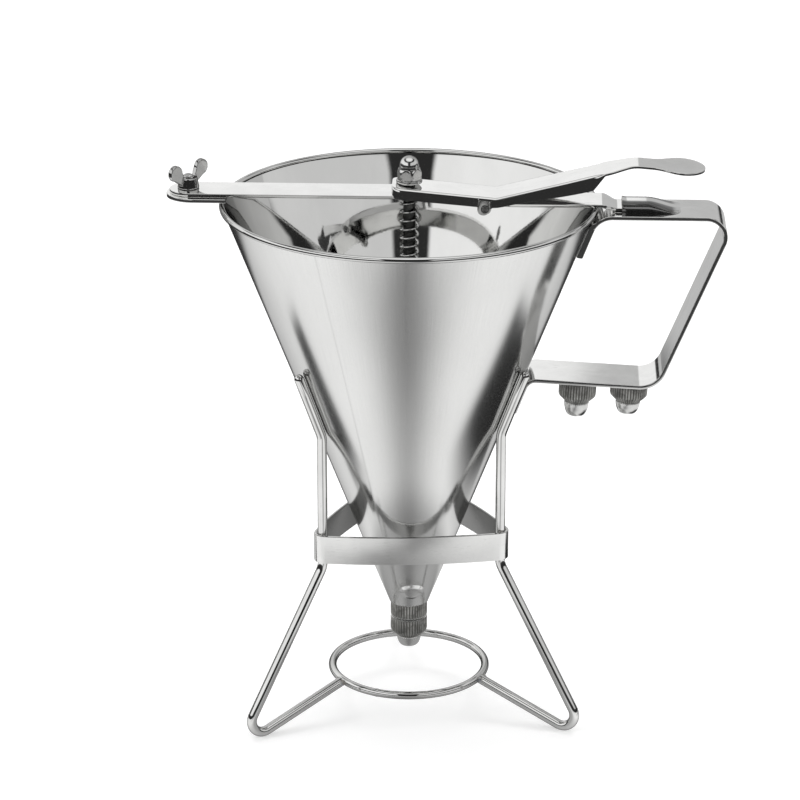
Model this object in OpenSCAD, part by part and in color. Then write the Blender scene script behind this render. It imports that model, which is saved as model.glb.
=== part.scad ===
/*
  Hand-held batter dispenser: a conical funnel with a lever-worked needle valve, a strip handle
  that carries two spare nozzles, and a three-legged wire stand.
  The funnel's axis is Z, the stand's feet stand on z = 0, and the handle points along +X.
*/

/* [Funnel] */
// Outside diameter over the rolled rim
rim_d = 190; // [160:1:220]
// Height of the cone, from its lower edge to the middle of the rim
cone_h = 215; // [190:1:240]
// Outside diameter of the cone's lower edge
cone_bottom_d = 20.4; // [20:0.1:24]
// Thickness of the cone's sheet
wall = 1; // [0.8:0.1:1.5]
// Diameter of the rolled rim
bead_d = 3; // [2.5:0.1:4]
// Height of the cone's lower edge above the table
funnel_z = 56; // [50:1:70]

/* [Spout and nozzles] */
// Diameter of the threaded spout
spout_d = 16; // [14:0.1:16.5]
// Bore of the spout
spout_bore_d = 8; // [6:0.1:9]
// How far the spout reaches below the cone
spout_drop = 17.5; // [16:0.1:18.5]
// Diameter of the knurled collar and nozzles
nozzle_d = 19; // [18.6:0.1:20]
// Height of the knurled collar
collar_h = 8.4; // [7:0.1:9]
// Height of a short nozzle's smooth nose
nozzle_nose_h = 6; // [5.5:0.1:8]
// Height of a nozzle's straight knurled part
nozzle_straight_h = 8; // [7.5:0.1:9]
// Height of a nozzle's tapered knurled part
nozzle_taper_h = 3; // [2:0.1:3.5]
// Height of the straight knurl on the inner spare nozzle
inner_straight_h = 10; // [8:0.1:11]
// Height of the nose of the inner spare nozzle
inner_nose_h = 7.8; // [6:0.1:9]
// Height of the nose of the outer spare nozzle
outer_nose_h = 6.8; // [6:0.1:9]
// Diameter where a nozzle's knurl ends
nozzle_neck_d = 12.6; // [12:0.1:14]
// Diameter of a nozzle's flat tip
nozzle_tip_d = 7; // [6.5:0.1:8]
// Outlet of the fitted nozzle
fitted_outlet_d = 5; // [2:0.1:6]
// Outlet of the spare nozzle next to the cone
inner_outlet_d = 3; // [2:0.1:6]
// Outlet of the spare nozzle at the handle's bend
outer_outlet_d = 4; // [2:0.1:6]
// Number of knurl ridges
knurl_count = 40; // [24:1:60]
// Depth of the knurl
knurl_depth = 0.4; // [0.2:0.05:0.6]

/* [Handle] */
// Width of the handle strip
strip_w = 31; // [26:0.5:34]
// Thickness of the handle strip
strip_t = 2; // [1.5:0.1:2.5]
// Depth of the top run's middle below the rim's middle
handle_drop = 2.1; // [2:0.1:6]
// Where the top run and the grip would meet if the corner were sharp
handle_reach = 162; // [150:1:175]
// Lean of the grip from upright
grip_lean = 22.4; // [10:0.1:26]
// Depth of the lower run below the rim, at the cone
lower_run_drop = 88; // [80:1:96]
// Slope of the lower run, down and away from the cone
lower_run_slope = 3; // [0:0.1:6]
// Length of each welded end along the cone
weld_end_l = 15; // [12:0.5:20]
// Bend where the top run leaves the cone
root_bend_r = 11; // [8:0.5:12]
// Bend between the top run and the grip
top_bend_r = 9; // [6:0.5:12]
// Bend between the grip and the lower run
low_bend_r = 11; // [6:0.5:14]
// Bend where the lower run meets the cone
heel_bend_r = 6; // [4:0.5:8]
// Distance of the first spare nozzle from the lower run's start
spare_first = 25.5; // [22:0.5:28]
// Distance between the spare nozzles
spare_pitch = 26; // [23:0.5:28]
// Height of the studs that hold the spare nozzles
spare_stud_h = 6.5; // [5:0.1:7]

/* [Cross bar] */
// Width of the bar
bar_w = 21; // [18:0.5:24]
// Thickness of the bar
bar_t = 1.8; // [1.5:0.1:2.2]
// Height of the bar's underside above the rim's middle, on the lug side
bar_lift = 4.9; // [4:0.1:6]
// Reach of the bar's round end beyond the rim
bar_overhang = 25; // [22:0.5:32]
// Where the bar starts to slope down
ramp_start_x = 8; // [8:0.5:14]
// Where the slope ends
ramp_end_x = 50; // [48:0.5:60]
// Width of the tongue under the clip
tongue_w = 15; // [10:0.5:16]
// How far the tongue reaches under the clip
tongue_in = 10; // [6:0.5:14]
// Height of the bar's side walls at their peak, over the bar's top
ear_h = 2.6; // [1:0.1:3]
// Where the side walls are highest
ear_peak_x = 66; // [60:0.5:72]
// Where the side walls run out
ear_end_x = 87; // [80:0.5:89]

/* [Lug and wing nut] */
// Width of the lug
lug_w = 29; // [24:0.5:32]
// Thickness of the lug
lug_t = 2; // [1.5:0.1:2.4]
// Reach of the lug beyond the rim
lug_overhang = 26.5; // [24:0.5:34]
// Distance of the clamp stud beyond the rim
stud_out = 15.5; // [12:0.5:18]
// Diameter of the clamp stud
stud_d = 5; // [4:0.5:5]
// Height of the clamp stud above the bar
stud_up = 7; // [6:0.5:9]
// Span over the wings
wing_span = 26; // [22:0.5:30]
// Height of the wing nut
wing_nut_h = 13; // [11:0.5:15]
// Thickness of a wing
wing_t = 2.4; // [1.8:0.1:3]
// Diameter of the wing nut's base
wing_hub_d = 11; // [9:0.5:12]
// Height of the wing nut's hub
wing_hub_h = 5.5; // [4:0.5:7]
// Turn of the wings from the bar's length
wing_turn = 51; // [0:1:180]

/* [Clip] */
// Where the clip's open end lies
clip_x = 106; // [104:0.5:112]
// Length of the clip
clip_l = 29; // [24:0.5:32]
// Width of the clip
clip_w = 23; // [20:0.5:26]
// Thickness of the clip
clip_t = 1.2; // [1:0.1:1.5]
// Part of the clip's length that stands at full height
clip_flat_share = 0.34; // [0.2:0.01:0.5]
// Part of the clip's length where it has come down to the handle
clip_down_share = 0.86; // [0.7:0.01:0.9]

/* [Lever] */
// Width of the lever over its side walls
lever_w = 24; // [23:0.1:26]
// Thickness of the lever's sheet
lever_t = 1.2; // [1:0.1:1.4]
// Reach of the lever's round end beyond the valve rod
lever_tail = 8.5; // [8:0.5:11]
// Height of the lever's top above the rim's middle, at the valve rod
lever_rod_h = 10.1; // [9.8:0.1:11]
// Where the lever bends upward
lever_bend_x = 43.5; // [40:0.5:46]
// Height of the lever's top at that bend
lever_bend_h = 6.1; // [6:0.1:7]
// Where the lever is highest
lever_peak_x = 111.5; // [105:0.5:116]
// Height of the lever's top at its peak
lever_peak_h = 23; // [20:0.5:26]
// Where the thumb rest ends
lever_tip_x = 147; // [140:0.5:152]
// Height of the lever's top at its tip
lever_tip_h = 20.2; // [18:0.1:22]
// Width of the neck before the thumb rest
lever_neck_w = 16; // [14:0.5:22]
// Width of the thumb rest
paddle_w = 27.5; // [24:0.5:32]
// Depth of the side walls at the rod
skirt_h = 5.2; // [4.5:0.1:6]
// Depth of the side walls at the upward bend
skirt_bend_h = 4; // [3.5:0.1:5]
// Depth of the side walls where they end
skirt_end_h = 7; // [5:0.1:8]
// Where the side walls end
skirt_end_x = 97; // [90:0.5:99]
// Place of the pivot pin
pivot_x = 38; // [36:0.5:40]
// Diameter of the pivot pin
pivot_d = 3; // [2.5:0.1:3.2]
// Radius of the round lobes about the pin
lobe_r = 3.2; // [3:0.1:3.6]
// Thickness of the bar's pivot ears
pivot_ear_t = 1.8; // [1.2:0.1:2]

/* [Valve] */
// Diameter of the valve rod
rod_d = 6; // [5:0.1:6]
// Width across the flats of the acorn nut
acorn_af = 11; // [10:0.1:12]
// Height of the acorn nut
acorn_h = 12; // [10:0.1:13]
// Height of the acorn nut's hexagon
acorn_hex_h = 5.5; // [4.5:0.1:6]
// Diameter of the washer under the acorn nut
nut_washer_d = 13; // [12:0.1:14]
// Thickness of that washer
nut_washer_t = 1.8; // [1.2:0.1:2]
// Outside diameter of the spring
spring_d = 10; // [9.5:0.1:11]
// Diameter of the spring's wire
spring_wire = 1.3; // [1:0.1:1.5]
// Length of the fitted spring
spring_l = 40; // [35:1:45]
// Pitch of the spring's open coils
spring_pitch = 4.3; // [4:0.1:6]
// Thickness of the washers at the spring's ends
seat_washer_t = 1; // [0.8:0.1:1.5]
// Height of the nut that carries the spring
stop_nut_h = 5; // [4:0.1:6]
// Diameter of the valve plug
plug_d = 11; // [10.5:0.1:11.5]
// Height of the plug's straight part
plug_h = 4; // [3:0.1:6]

/* [Stand] */
// Diameter of the leg wire
leg_d = 5; // [4:0.1:5.5]
// Diameter of the base ring's wire
ring_wire_d = 4; // [3.5:0.1:5]
// Distance of the upright legs from the funnel's axis
leg_r = 52.2; // [51:0.1:58]
// Height of the legs' top ends
leg_top_z = 190; // [180:1:200]
// Outermost reach of the feet
foot_r = 95.5; // [88:0.5:105]
// Bend of the feet
foot_bend_r = 7; // [5:0.5:9]
// Bends of the legs above and below the band
leg_bend_r = 12; // [8:0.5:14]
// Radius of the base ring
ring_r = 39.9; // [34:0.1:44]
// Height of the base ring
ring_z = 19; // [14:0.5:24]
// Height of the band's lower edge
band_z = 89.5; // [86:0.5:96]
// Height of the band
band_h = 15; // [12:0.5:18]
// Thickness of the band
band_t = 1.5; // [1.2:0.1:2]
// Distance of the band's sides from the funnel's axis
band_side = 33.4; // [32.5:0.1:35]
// Inner corner radius of the band
band_corner_r = 5; // [4:0.1:6]
// Turn of the stand under the funnel
stand_turn = 5; // [-20:1:20]

/* [Fits] */
// Running clearance of a shaft, a side
running_gap = 0.05; // [0.02:0.01:0.1]
// Clearance of a thread, a side
thread_gap = 0.05; // [0.02:0.01:0.1]
// Clearance between the cone and the stand's legs
seat_gap = 0.3; // [0.2:0.05:0.5]
// Clearance over the rim and beside the lever
side_gap = 0.3; // [0.15:0.05:0.3]
// Clearance of a loose hole, a side
loose_gap = 0.3; // [0.2:0.05:0.5]
// Play between parts that only just touch
touch_gap = 0.1; // [0.05:0.05:0.2]

/* [Hidden] */
$fn = 64;
tiny = 0.01;
// Facets around a swept wire, and the turn between the stations in a bend
wire_sides = 16;
bend_step = 9;
// Straight pieces in each arc of the band's outline
arc_steps = 12;
// Azimuths of the right, back and left legs
leg_turns = [-30, 90, 210];

// Funnel
rim_z = funnel_z + cone_h;
bead_r = rim_d / 2 - bead_d / 2;
cone_bottom_r = cone_bottom_d / 2;
cone_slope = (bead_r - cone_bottom_r) / cone_h;
cone_angle = atan(cone_slope);
wall_across = wall / cos(cone_angle);
// Outer radius of the cone's sheet at a height
function cone_r(z) = cone_bottom_r + (z - funnel_z) * cone_slope;
// Distance from the axis of a point that stands off the cone's outside
function off_cone(z, stand_off) = cone_r(z) + stand_off / cos(cone_angle);

// Spout
collar_top_z = funnel_z - touch_gap;
collar_z = collar_top_z - collar_h;
spout_z = funnel_z - spout_drop;
spout_top_h = 9;
seat_d = plug_d + 2;
seat_h = (seat_d - spout_bore_d) / 2;
nozzle_z = collar_z - touch_gap;
nozzle_h = nozzle_straight_h + nozzle_taper_h + nozzle_nose_h;
nozzle_floor = nozzle_h - spout_drop + (funnel_z - nozzle_z) - touch_gap;

// Handle: the strip's middle line in the XZ plane
handle_z = rim_z - handle_drop;
lower_z = rim_z - lower_run_drop;
cone_side_dir = [sin(cone_angle), cos(cone_angle)];
root_corner = [off_cone(handle_z, strip_t / 2 + touch_gap), handle_z];
grip_top = [handle_reach, handle_z];
heel_corner = [off_cone(lower_z, strip_t / 2 + touch_gap), lower_z];
// Where the leaning grip meets the sloping lower run
grip_low_z = (lower_z - tan(lower_run_slope) *
    (handle_reach - handle_z * tan(grip_lean) - heel_corner.x)) /
    (1 + tan(lower_run_slope) * tan(grip_lean));
grip_low = [handle_reach - (handle_z - grip_low_z) * tan(grip_lean), grip_low_z];
root_end = root_corner - cone_side_dir * (root_bend_r * tan((90 - cone_angle) / 2) + weld_end_l);
heel_end = heel_corner - cone_side_dir * (heel_bend_r * tan((90 - cone_angle) / 2) + weld_end_l);
handle_path = [root_end, root_corner, grip_top, grip_low, heel_corner, heel_end];
handle_bends = [0, root_bend_r, top_bend_r, low_bend_r, heel_bend_r, 0];
handle_top_z = handle_z + strip_t / 2;
run_angle = atan2(grip_low.y - heel_corner.y, grip_low.x - heel_corner.x);

// Cross bar
bar_low_h = bead_d / 2 + side_gap / 2;
bar_top_z = rim_z + bar_lift + bar_t;
bar_low_top_z = rim_z + bar_low_h + bar_t;
bar_left_x = -rim_d / 2 - bar_overhang;
bar_right_x = clip_x + tongue_in;
bar_mid_z = rim_z + bar_lift + bar_t / 2;
bar_low_mid_z = rim_z + bar_low_h + bar_t / 2;
ramp_slope = (bar_lift - bar_low_h) / (ramp_end_x - ramp_start_x);
ramp_bend_r = 14;
bar_path = [[bar_left_x, bar_mid_z], [ramp_start_x, bar_mid_z], [ramp_end_x, bar_low_mid_z],
    [bar_right_x, bar_low_mid_z]];
bar_bends = [0, ramp_bend_r, ramp_bend_r, 0];
stud_x = -rim_d / 2 - stud_out;

// Lever, with its pin just under the sloping bar
pivot_z = rim_z + bar_lift - (pivot_x - ramp_start_x) * ramp_slope - pivot_d / 2 - side_gap;
lever_slope_in = (lever_rod_h - lever_bend_h) / lever_bend_x;
lever_slope_out = (lever_peak_h - lever_bend_h) / (lever_peak_x - lever_bend_x);
lever_bend_in_r = 8;
lever_peak_r = 22;
lever_tail_z = rim_z + lever_rod_h + lever_tail * lever_slope_in;
lever_path = [[-lever_tail, lever_tail_z], [lever_bend_x, rim_z + lever_bend_h],
    [lever_peak_x, rim_z + lever_peak_h], [lever_tip_x, rim_z + lever_tip_h]];
lever_bends = [0, lever_bend_in_r, lever_peak_r, 0];
// Height of the lever's top, along its straight stretches
function lever_top(x) = rim_z + (x < lever_bend_x
    ? lever_bend_h + (lever_bend_x - x) * lever_slope_in
    : lever_bend_h + (x - lever_bend_x) * lever_slope_out);
rod_slot_l = 3.5;

// Valve
washer_z = lever_top(-nut_washer_d / 2) + touch_gap;
acorn_z = washer_z + nut_washer_t;
rod_top_z = acorn_z + acorn_hex_h + 1;
seat_z = funnel_z - seat_h;
plug_z = seat_z + touch_gap;
spring_top_z = rim_z + bar_lift - seat_washer_t;
spring_low_z = spring_top_z - spring_l;
spring_coil_r = (spring_d - spring_wire) / 2;

// Stand
band_top_z = band_z + band_h;
corner_centre_r = leg_r + leg_d / 2 + touch_gap / 2 - band_corner_r;
side_reach = band_side - band_corner_r;
side_back = (pow(corner_centre_r, 2) - pow(side_reach, 2)) / (2 * side_reach - corner_centre_r);
side_arc_r = band_side + side_back;
side_half_angle = atan2(corner_centre_r * sin(60), corner_centre_r * cos(60) + side_back);
corner_turn = 120 - 2 * side_half_angle;
leg_off = leg_d / 2 + seat_gap;
seat_bend_z = funnel_z + (leg_r - leg_off / cos(cone_angle) - cone_bottom_r) / cone_slope;
leg_top = [off_cone(leg_top_z, leg_off), leg_top_z];
knee_z = band_z - leg_bend_r * tan(15);
knee = [leg_r, knee_z];
foot_centre = [foot_r - foot_bend_r, foot_bend_r + leg_d / 2];
// Direction of the line from a point that touches the foot's bend on the given side
function foot_tangent(p, side) =
    let (d = foot_centre - p)
    atan2(d.y, d.x) + side * asin(foot_bend_r / norm(d));
// Where the leg and the foot's return wire would meet if the bend were sharp
function crossing(p, a, q, b) =
    let (d = q - p, s = (d.x * sin(b) - d.y * cos(b)) / (cos(a) * sin(b) - sin(a) * cos(b)))
    p + s * [cos(a), sin(a)];
weld_depth = 0.3;
ring_point = [ring_r + ring_wire_d / 2 - weld_depth, ring_z];
foot_corner = crossing(knee, foot_tangent(knee, 1), ring_point, foot_tangent(ring_point, -1));
leg_path = [leg_top, [leg_r, seat_bend_z], knee, foot_corner, ring_point];
leg_bends = [0, leg_bend_r, leg_bend_r, foot_bend_r, 0];

/* ---- Shared forms ---- */

// Directions along a path, and the turn at each of its points
function heading(path, i) = atan2(path[i + 1].y - path[i].y, path[i + 1].x - path[i].x);
function wrapped(a) = a > 180 ? a - 360 : a < -180 ? a + 360 : a;
function turn(path, i) = wrapped(heading(path, i) - heading(path, i - 1));
function cut_back(path, bends, i) =
    i == 0 || i == len(path) - 1 ? 0 : bends[i] * tan(abs(turn(path, i)) / 2);
function step(a) = [cos(a), sin(a)];

// Places along a path with round bends, each with the direction there
function stations(path, bends) =
    let (last = len(path) - 1)
    [for (i = [0 : last])
        let (a = i > 0 ? heading(path, i - 1) : heading(path, 0),
            t = i > 0 && i < last ? turn(path, i) : 0,
            steps = ceil(abs(t) / bend_step),
            centre = path[i] - step(a) * cut_back(path, bends, i)
                + step(a + sign(t) * 90) * bends[i])
        for (k = [0 : steps])
            let (b = steps > 0 ? a + t * k / steps : a)
            [steps > 0 ? centre - step(b + sign(t) * 90) * bends[i] : path[i], b]];

// Side outline of sheet bent along a path, between two distances from it
function ribbon(path, bends, low, high) =
    let (run = stations(path, bends), last = len(run) - 1)
    concat([for (i = [0 : last]) run[i][0] + step(run[i][1] + 90) * high],
        [for (i = [last : -1 : 0]) run[i][0] + step(run[i][1] + 90) * low]);

// Stands a shape made in the XY plane up in the XZ plane
module upright() {
    rotate([90, 0, 0])
        children();
}

// Flat plate with one side outline, centred on the XZ plane
module side_plate(width) {
    upright()
        linear_extrude(width, center = true)
            children();
}

// Ring of rectangular section
module washer(d, hole_d, t) {
    difference() {
        cylinder(d = d, h = t);
        translate([0, 0, -tiny])
            cylinder(d = hole_d, h = t + 2 * tiny);
    }
}

// Hexagon by its width across the flats
module hexagon(af) {
    circle(d = af / cos(30), $fn = 6);
}

// Round outline with straight ridges
module knurled(d) {
    polygon([for (i = [0 : 2 * knurl_count - 1])
        (d / 2 - (i % 2) * knurl_depth) * step(i * 180 / knurl_count)]);
}

/* ---- Funnel ---- */

module funnel_cone() {
    bead_half = bead_d / 2;
    color("gainsboro")
        rotate_extrude() {
            polygon([[cone_bottom_r - wall_across, funnel_z], [cone_bottom_r, funnel_z],
                [bead_r, rim_z], [bead_r - wall_across, rim_z]]);
            translate([bead_r, rim_z])
                circle(bead_half);
        }
}

module threaded_spout() {
    top_z = funnel_z + spout_top_h;
    color("darkgray")
        difference() {
            rotate_extrude()
                polygon([[0, spout_z], [spout_d / 2, spout_z], [spout_d / 2, funnel_z],
                    [cone_r(funnel_z) - wall_across, funnel_z],
                    [cone_r(top_z) - wall_across, top_z], [0, top_z]]);
            translate([0, 0, spout_z - 1])
                cylinder(d = spout_bore_d, h = seat_z - spout_z + 2);
            translate([0, 0, seat_z])
                cylinder(d1 = spout_bore_d, d2 = seat_d, h = seat_h);
            translate([0, 0, funnel_z - tiny])
                cylinder(d = seat_d, h = spout_top_h + 1);
        }
}

module spout_collar() {
    color("gray")
        translate([0, 0, collar_z])
            difference() {
                linear_extrude(collar_h)
                    knurled(nozzle_d);
                translate([0, 0, -1])
                    cylinder(d = spout_d + 2 * thread_gap, h = collar_h + 2);
            }
}

// Nozzle hanging down from its top rim at the origin
module nozzle(outlet_d, straight_h, nose_h) {
    socket_h = nozzle_h - nozzle_floor;
    tip_z = -straight_h - nozzle_taper_h - nose_h;
    difference() {
        union() {
            translate([0, 0, -straight_h])
                linear_extrude(straight_h)
                    knurled(nozzle_d);
            nozzle_nose(straight_h, nose_h);
        }
        translate([0, 0, -socket_h])
            cylinder(d = spout_d + 2 * thread_gap, h = socket_h + 1);
        translate([0, 0, tip_z - 1])
            cylinder(d = outlet_d, h = 1 - tip_z);
    }
}

// Tapered part and rounded end of a nozzle, below its straight knurl
module nozzle_nose(straight_h, nose_h) {
    root_r = nozzle_d / 2 - knurl_depth - touch_gap;
    neck_r = nozzle_neck_d / 2;
    tip_r = nozzle_tip_d / 2;
    neck_z = -straight_h - nozzle_taper_h;
    rotate_extrude()
        polygon(concat([[0, 1 - straight_h], [root_r, 1 - straight_h],
            [root_r, -straight_h], [neck_r, neck_z]],
            [for (a = [15 : 15 : 90])
                [tip_r + (neck_r - tip_r) * cos(a), neck_z - nose_h * sin(a)]],
            [[0, neck_z - nose_h]]));
}

module nozzle_fitted() {
    color("dimgray")
        translate([0, 0, nozzle_z])
            nozzle(fitted_outlet_d, nozzle_straight_h, nozzle_nose_h);
}

// Places a thing under the lower run, square to it
module under_run(distance, gap) {
    translate([heel_corner.x, 0, heel_corner.y])
        rotate([0, -run_angle, 0])
            translate([distance, 0, -strip_t / 2 - gap])
                children();
}

module spare_nozzle_inner() {
    color("dimgray")
        under_run(spare_first, touch_gap)
            nozzle(inner_outlet_d, inner_straight_h, inner_nose_h);
}

module spare_nozzle_outer() {
    color("dimgray")
        under_run(spare_first + spare_pitch, touch_gap)
            nozzle(outer_outlet_d, nozzle_straight_h, outer_nose_h);
}

module spare_stud(distance) {
    color("darkgray")
        under_run(distance, 0)
            mirror([0, 0, 1])
                cylinder(d = spout_d, h = spare_stud_h);
}

module spare_stud_inner() {
    spare_stud(spare_first);
}

module spare_stud_outer() {
    spare_stud(spare_first + spare_pitch);
}

/* ---- Handle, clip, lug ---- */

module handle_strip() {
    cut_z = heel_end.y - strip_t;
    color("silver")
        difference() {
            union() {
                side_plate(strip_w)
                    polygon(ribbon(handle_path, handle_bends, -strip_t / 2, strip_t / 2));
                weld_pad(root_end);
                weld_pad(heel_end);
            }
            rotate_extrude()
                polygon([[0, cut_z], [cone_r(cut_z), cut_z], [cone_r(rim_z), rim_z], [0, rim_z]]);
        }
}

// Fills the room between a flat welded end and the round cone
module weld_pad(end) {
    pad_in = 0.4;
    pad_w = strip_w - 2 * pad_in;
    side_plate(pad_w)
        translate(end)
            rotate(90 - cone_angle)
                translate([pad_in, 0])
                    square([weld_end_l - 2 * pad_in, 2 * strip_t]);
}

// Half-width, rise and half-outline of the clip's arched sections
function clip_width(u) =
    let (r = 5, past = u * clip_l - (clip_l - r))
    clip_w / 2 - (past > 0 ? r - sqrt(max(r * r - past * past, 0.5)) : 0);
function eased(s) = s * s * (3 - 2 * s);
function clip_rise(u) = (bar_low_top_z - handle_top_z + 2 * side_gap) *
    (1 - eased(min(max((u - clip_flat_share) / (clip_down_share - clip_flat_share), 0), 1)))
    + touch_gap;
function arch(a, half, rise) = [
    half * sign(cos(a)) * pow(abs(cos(a)), 0.5),
    rise * pow(max(sin(a), 0), 0.5)];
function clip_section(u, n) =
    let (x = clip_x + u * clip_l, rise = clip_rise(u), half = clip_width(u))
    concat(
        [for (i = [0 : n]) let (p = arch(180 * i / n, half, rise + clip_t))
            [x, p.x, handle_top_z + p.y]],
        [for (i = [n : -1 : 0]) let (p = arch(180 * i / n, half - clip_t, rise))
            [x, p.x, handle_top_z + p.y]]);

// Closed skin over a row of sections that all have the same even number of points. Each end is
// closed by a ladder of faces between the section's two halves.
module skinned(sections) {
    n = len(sections[0]);
    last = len(sections) - 1;
    polyhedron(
        points = [for (s = sections) each s],
        faces = concat(
            [for (i = [0 : n / 2 - 2]) [i + 1, i, n - 1 - i, n - 2 - i]],
            [for (i = [0 : n / 2 - 2])
                [last * n + i, last * n + i + 1, last * n + n - 2 - i, last * n + n - 1 - i]],
            [for (k = [0 : last - 1], i = [0 : n - 1])
                [k * n + i, k * n + (i + 1) % n, (k + 1) * n + (i + 1) % n, (k + 1) * n + i]]));
}

module bar_clip() {
    across = 12;
    along = 18;
    color("silver")
        skinned([for (k = [0 : along]) clip_section(k / along, across)]);
}

module stud_lug() {
    round_r = lug_w / 2;
    lug_x = -rim_d / 2 - lug_overhang;
    lug_z = rim_z + bar_lift - lug_t;
    web_w = bead_d * 2 / 3;
    web_z = rim_z + bead_d * 0.3;
    web_angle = asin((lug_w / 2 - web_w / 2) / bead_r);
    color("silver")
        difference() {
            union() {
                translate([0, 0, lug_z])
                    linear_extrude(lug_t)
                        difference() {
                            union() {
                                translate([lug_x + round_r, 0])
                                    circle(round_r);
                                translate([lug_x + round_r, -lug_w / 2])
                                    square([-lug_x - round_r - bead_r / 2, lug_w]);
                            }
                            circle(bead_r - bead_d / 2);
                        }
                rotate(180 - web_angle)
                    rotate_extrude(angle = 2 * web_angle)
                        translate([bead_r - web_w / 2, web_z])
                            square([web_w, lug_z + lug_t / 2 - web_z]);
            }
            rotate_extrude()
                translate([bead_r, rim_z])
                    circle(bead_d / 2);
            translate([stud_x, 0, lug_z - 1])
                cylinder(d = stud_d, h = lug_t + 2);
        }
}

module clamp_stud() {
    low_z = rim_z + bar_lift - lug_t;
    color("darkgray")
        translate([stud_x, 0, low_z])
            cylinder(d = stud_d, h = lug_t + bar_t + stud_up);
}

module wing_nut() {
    wing_r = 4;
    hub_top_d = wing_hub_d - 2;
    color("darkgray")
        translate([stud_x, 0, bar_top_z + touch_gap])
            rotate(wing_turn)
                difference() {
                    union() {
                        cylinder(d1 = wing_hub_d, d2 = hub_top_d, h = wing_hub_h);
                        side_plate(wing_t)
                            wing_outline(wing_r);
                    }
                    translate([0, 0, -1])
                        cylinder(d = stud_d + 2 * thread_gap, h = wing_nut_h + 2);
                }
}

// Both wings, from the hub up to their round ends
module wing_outline(r) {
    tip = [wing_span / 2 - r, wing_nut_h - r];
    low = [wing_hub_d / 2 - 2, 1];
    high = [wing_hub_d / 2 - 2, wing_hub_h];
    away = step(heading([low, tip], 0) - 90) * r;
    for (m = [0, 1])
        mirror([m, 0]) {
            translate(tip)
                circle(r);
            polygon([low, tip + away, tip - away, high]);
        }
}

/* ---- Cross bar ---- */

module cross_bar() {
    color("silver")
        difference() {
            union() {
                intersection() {
                    side_plate(bar_w + 2)
                        polygon(ribbon(bar_path, bar_bends, -bar_t / 2, bar_t / 2));
                    translate([0, 0, rim_z - bar_t])
                        linear_extrude(bar_lift + 4 * bar_t)
                            bar_outline();
                }
                for (m = [0, 1])
                    mirror([0, m, 0]) {
                        bar_side_wall();
                        pivot_ear();
                    }
            }
            translate([stud_x, 0, rim_z])
                cylinder(d = stud_d + 2 * loose_gap, h = bar_lift + 2 * bar_t);
            translate([0, 0, rim_z])
                cylinder(d = rod_d + 2 * running_gap, h = bar_lift + 2 * bar_t);
        }
}

// The bar from above: a round end, full width to the rim and a narrower tongue
module bar_outline() {
    shoulder_x = clip_x - 5;
    tip_r = 3;
    translate([bar_left_x + bar_w / 2, 0])
        circle(bar_w / 2);
    translate([bar_left_x + bar_w / 2, -bar_w / 2])
        square([shoulder_x - bar_left_x - bar_w / 2, bar_w]);
    translate([shoulder_x - 1, -tongue_w / 2])
        square([bar_right_x - tip_r - shoulder_x + 1, tongue_w]);
    for (s = [-1, 1])
        translate([bar_right_x - tip_r, s * (tongue_w / 2 - tip_r)])
            circle(tip_r);
    translate([bar_right_x - tip_r - tiny, tip_r - tongue_w / 2])
        square([tip_r + tiny, tongue_w - 2 * tip_r]);
}

// Upturned side wall that stiffens the bar beyond the lever's bend
module bar_side_wall() {
    start_x = ramp_end_x + 4;
    base_z = bar_low_top_z - bar_t / 2;
    translate([0, -bar_w / 2 + bar_t / 2, 0])
        side_plate(bar_t)
            polygon([[start_x, base_z], [start_x + 3, bar_low_top_z + ear_h * 0.7],
                [ear_peak_x, bar_low_top_z + ear_h], [ear_end_x, bar_low_top_z],
                [ear_end_x, base_z]]);
}

// Downturned ear that carries the pivot pin
module pivot_ear() {
    translate([0, -bar_w / 2 + pivot_ear_t / 2, 0])
        difference() {
            side_plate(pivot_ear_t) {
                translate([pivot_x, pivot_z])
                    circle(lobe_r);
                translate([pivot_x - lobe_r, pivot_z])
                    square([2 * lobe_r, pivot_d / 2 + side_gap + bar_t / 2]);
            }
            translate([pivot_x, 0, pivot_z])
                rotate([90, 0, 0])
                    cylinder(d = pivot_d, h = pivot_ear_t + 2, center = true);
        }
}

module pivot_pin() {
    head_t = 1;
    head_d = pivot_d + 2;
    color("darkgray")
        translate([pivot_x, 0, pivot_z])
            rotate([90, 0, 0]) {
                cylinder(d = pivot_d, h = lever_w + 2 * touch_gap, center = true);
                for (m = [0, 1])
                    mirror([0, 0, m])
                        translate([0, 0, lever_w / 2 + touch_gap])
                            cylinder(d1 = head_d, d2 = head_d - 1, h = head_t);
            }
}

/* ---- Lever ---- */

module lever() {
    color("silver")
        difference() {
            union() {
                intersection() {
                    side_plate(paddle_w + 2)
                        polygon(ribbon(lever_path, lever_bends, -lever_t, 0));
                    translate([0, 0, rim_z])
                        linear_extrude(lever_peak_h + 5)
                            lever_outline();
                }
                for (m = [0, 1])
                    mirror([0, m, 0])
                        translate([0, -lever_w / 2 + lever_t / 2, 0])
                            lever_skirt();
            }
            translate([0, 0, rim_z])
                linear_extrude(lever_rod_h + 5)
                    rod_slot();
            translate([pivot_x, 0, pivot_z])
                rotate([90, 0, 0])
                    cylinder(d = pivot_d + 2 * running_gap, h = lever_w + 2, center = true);
        }
}

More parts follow.
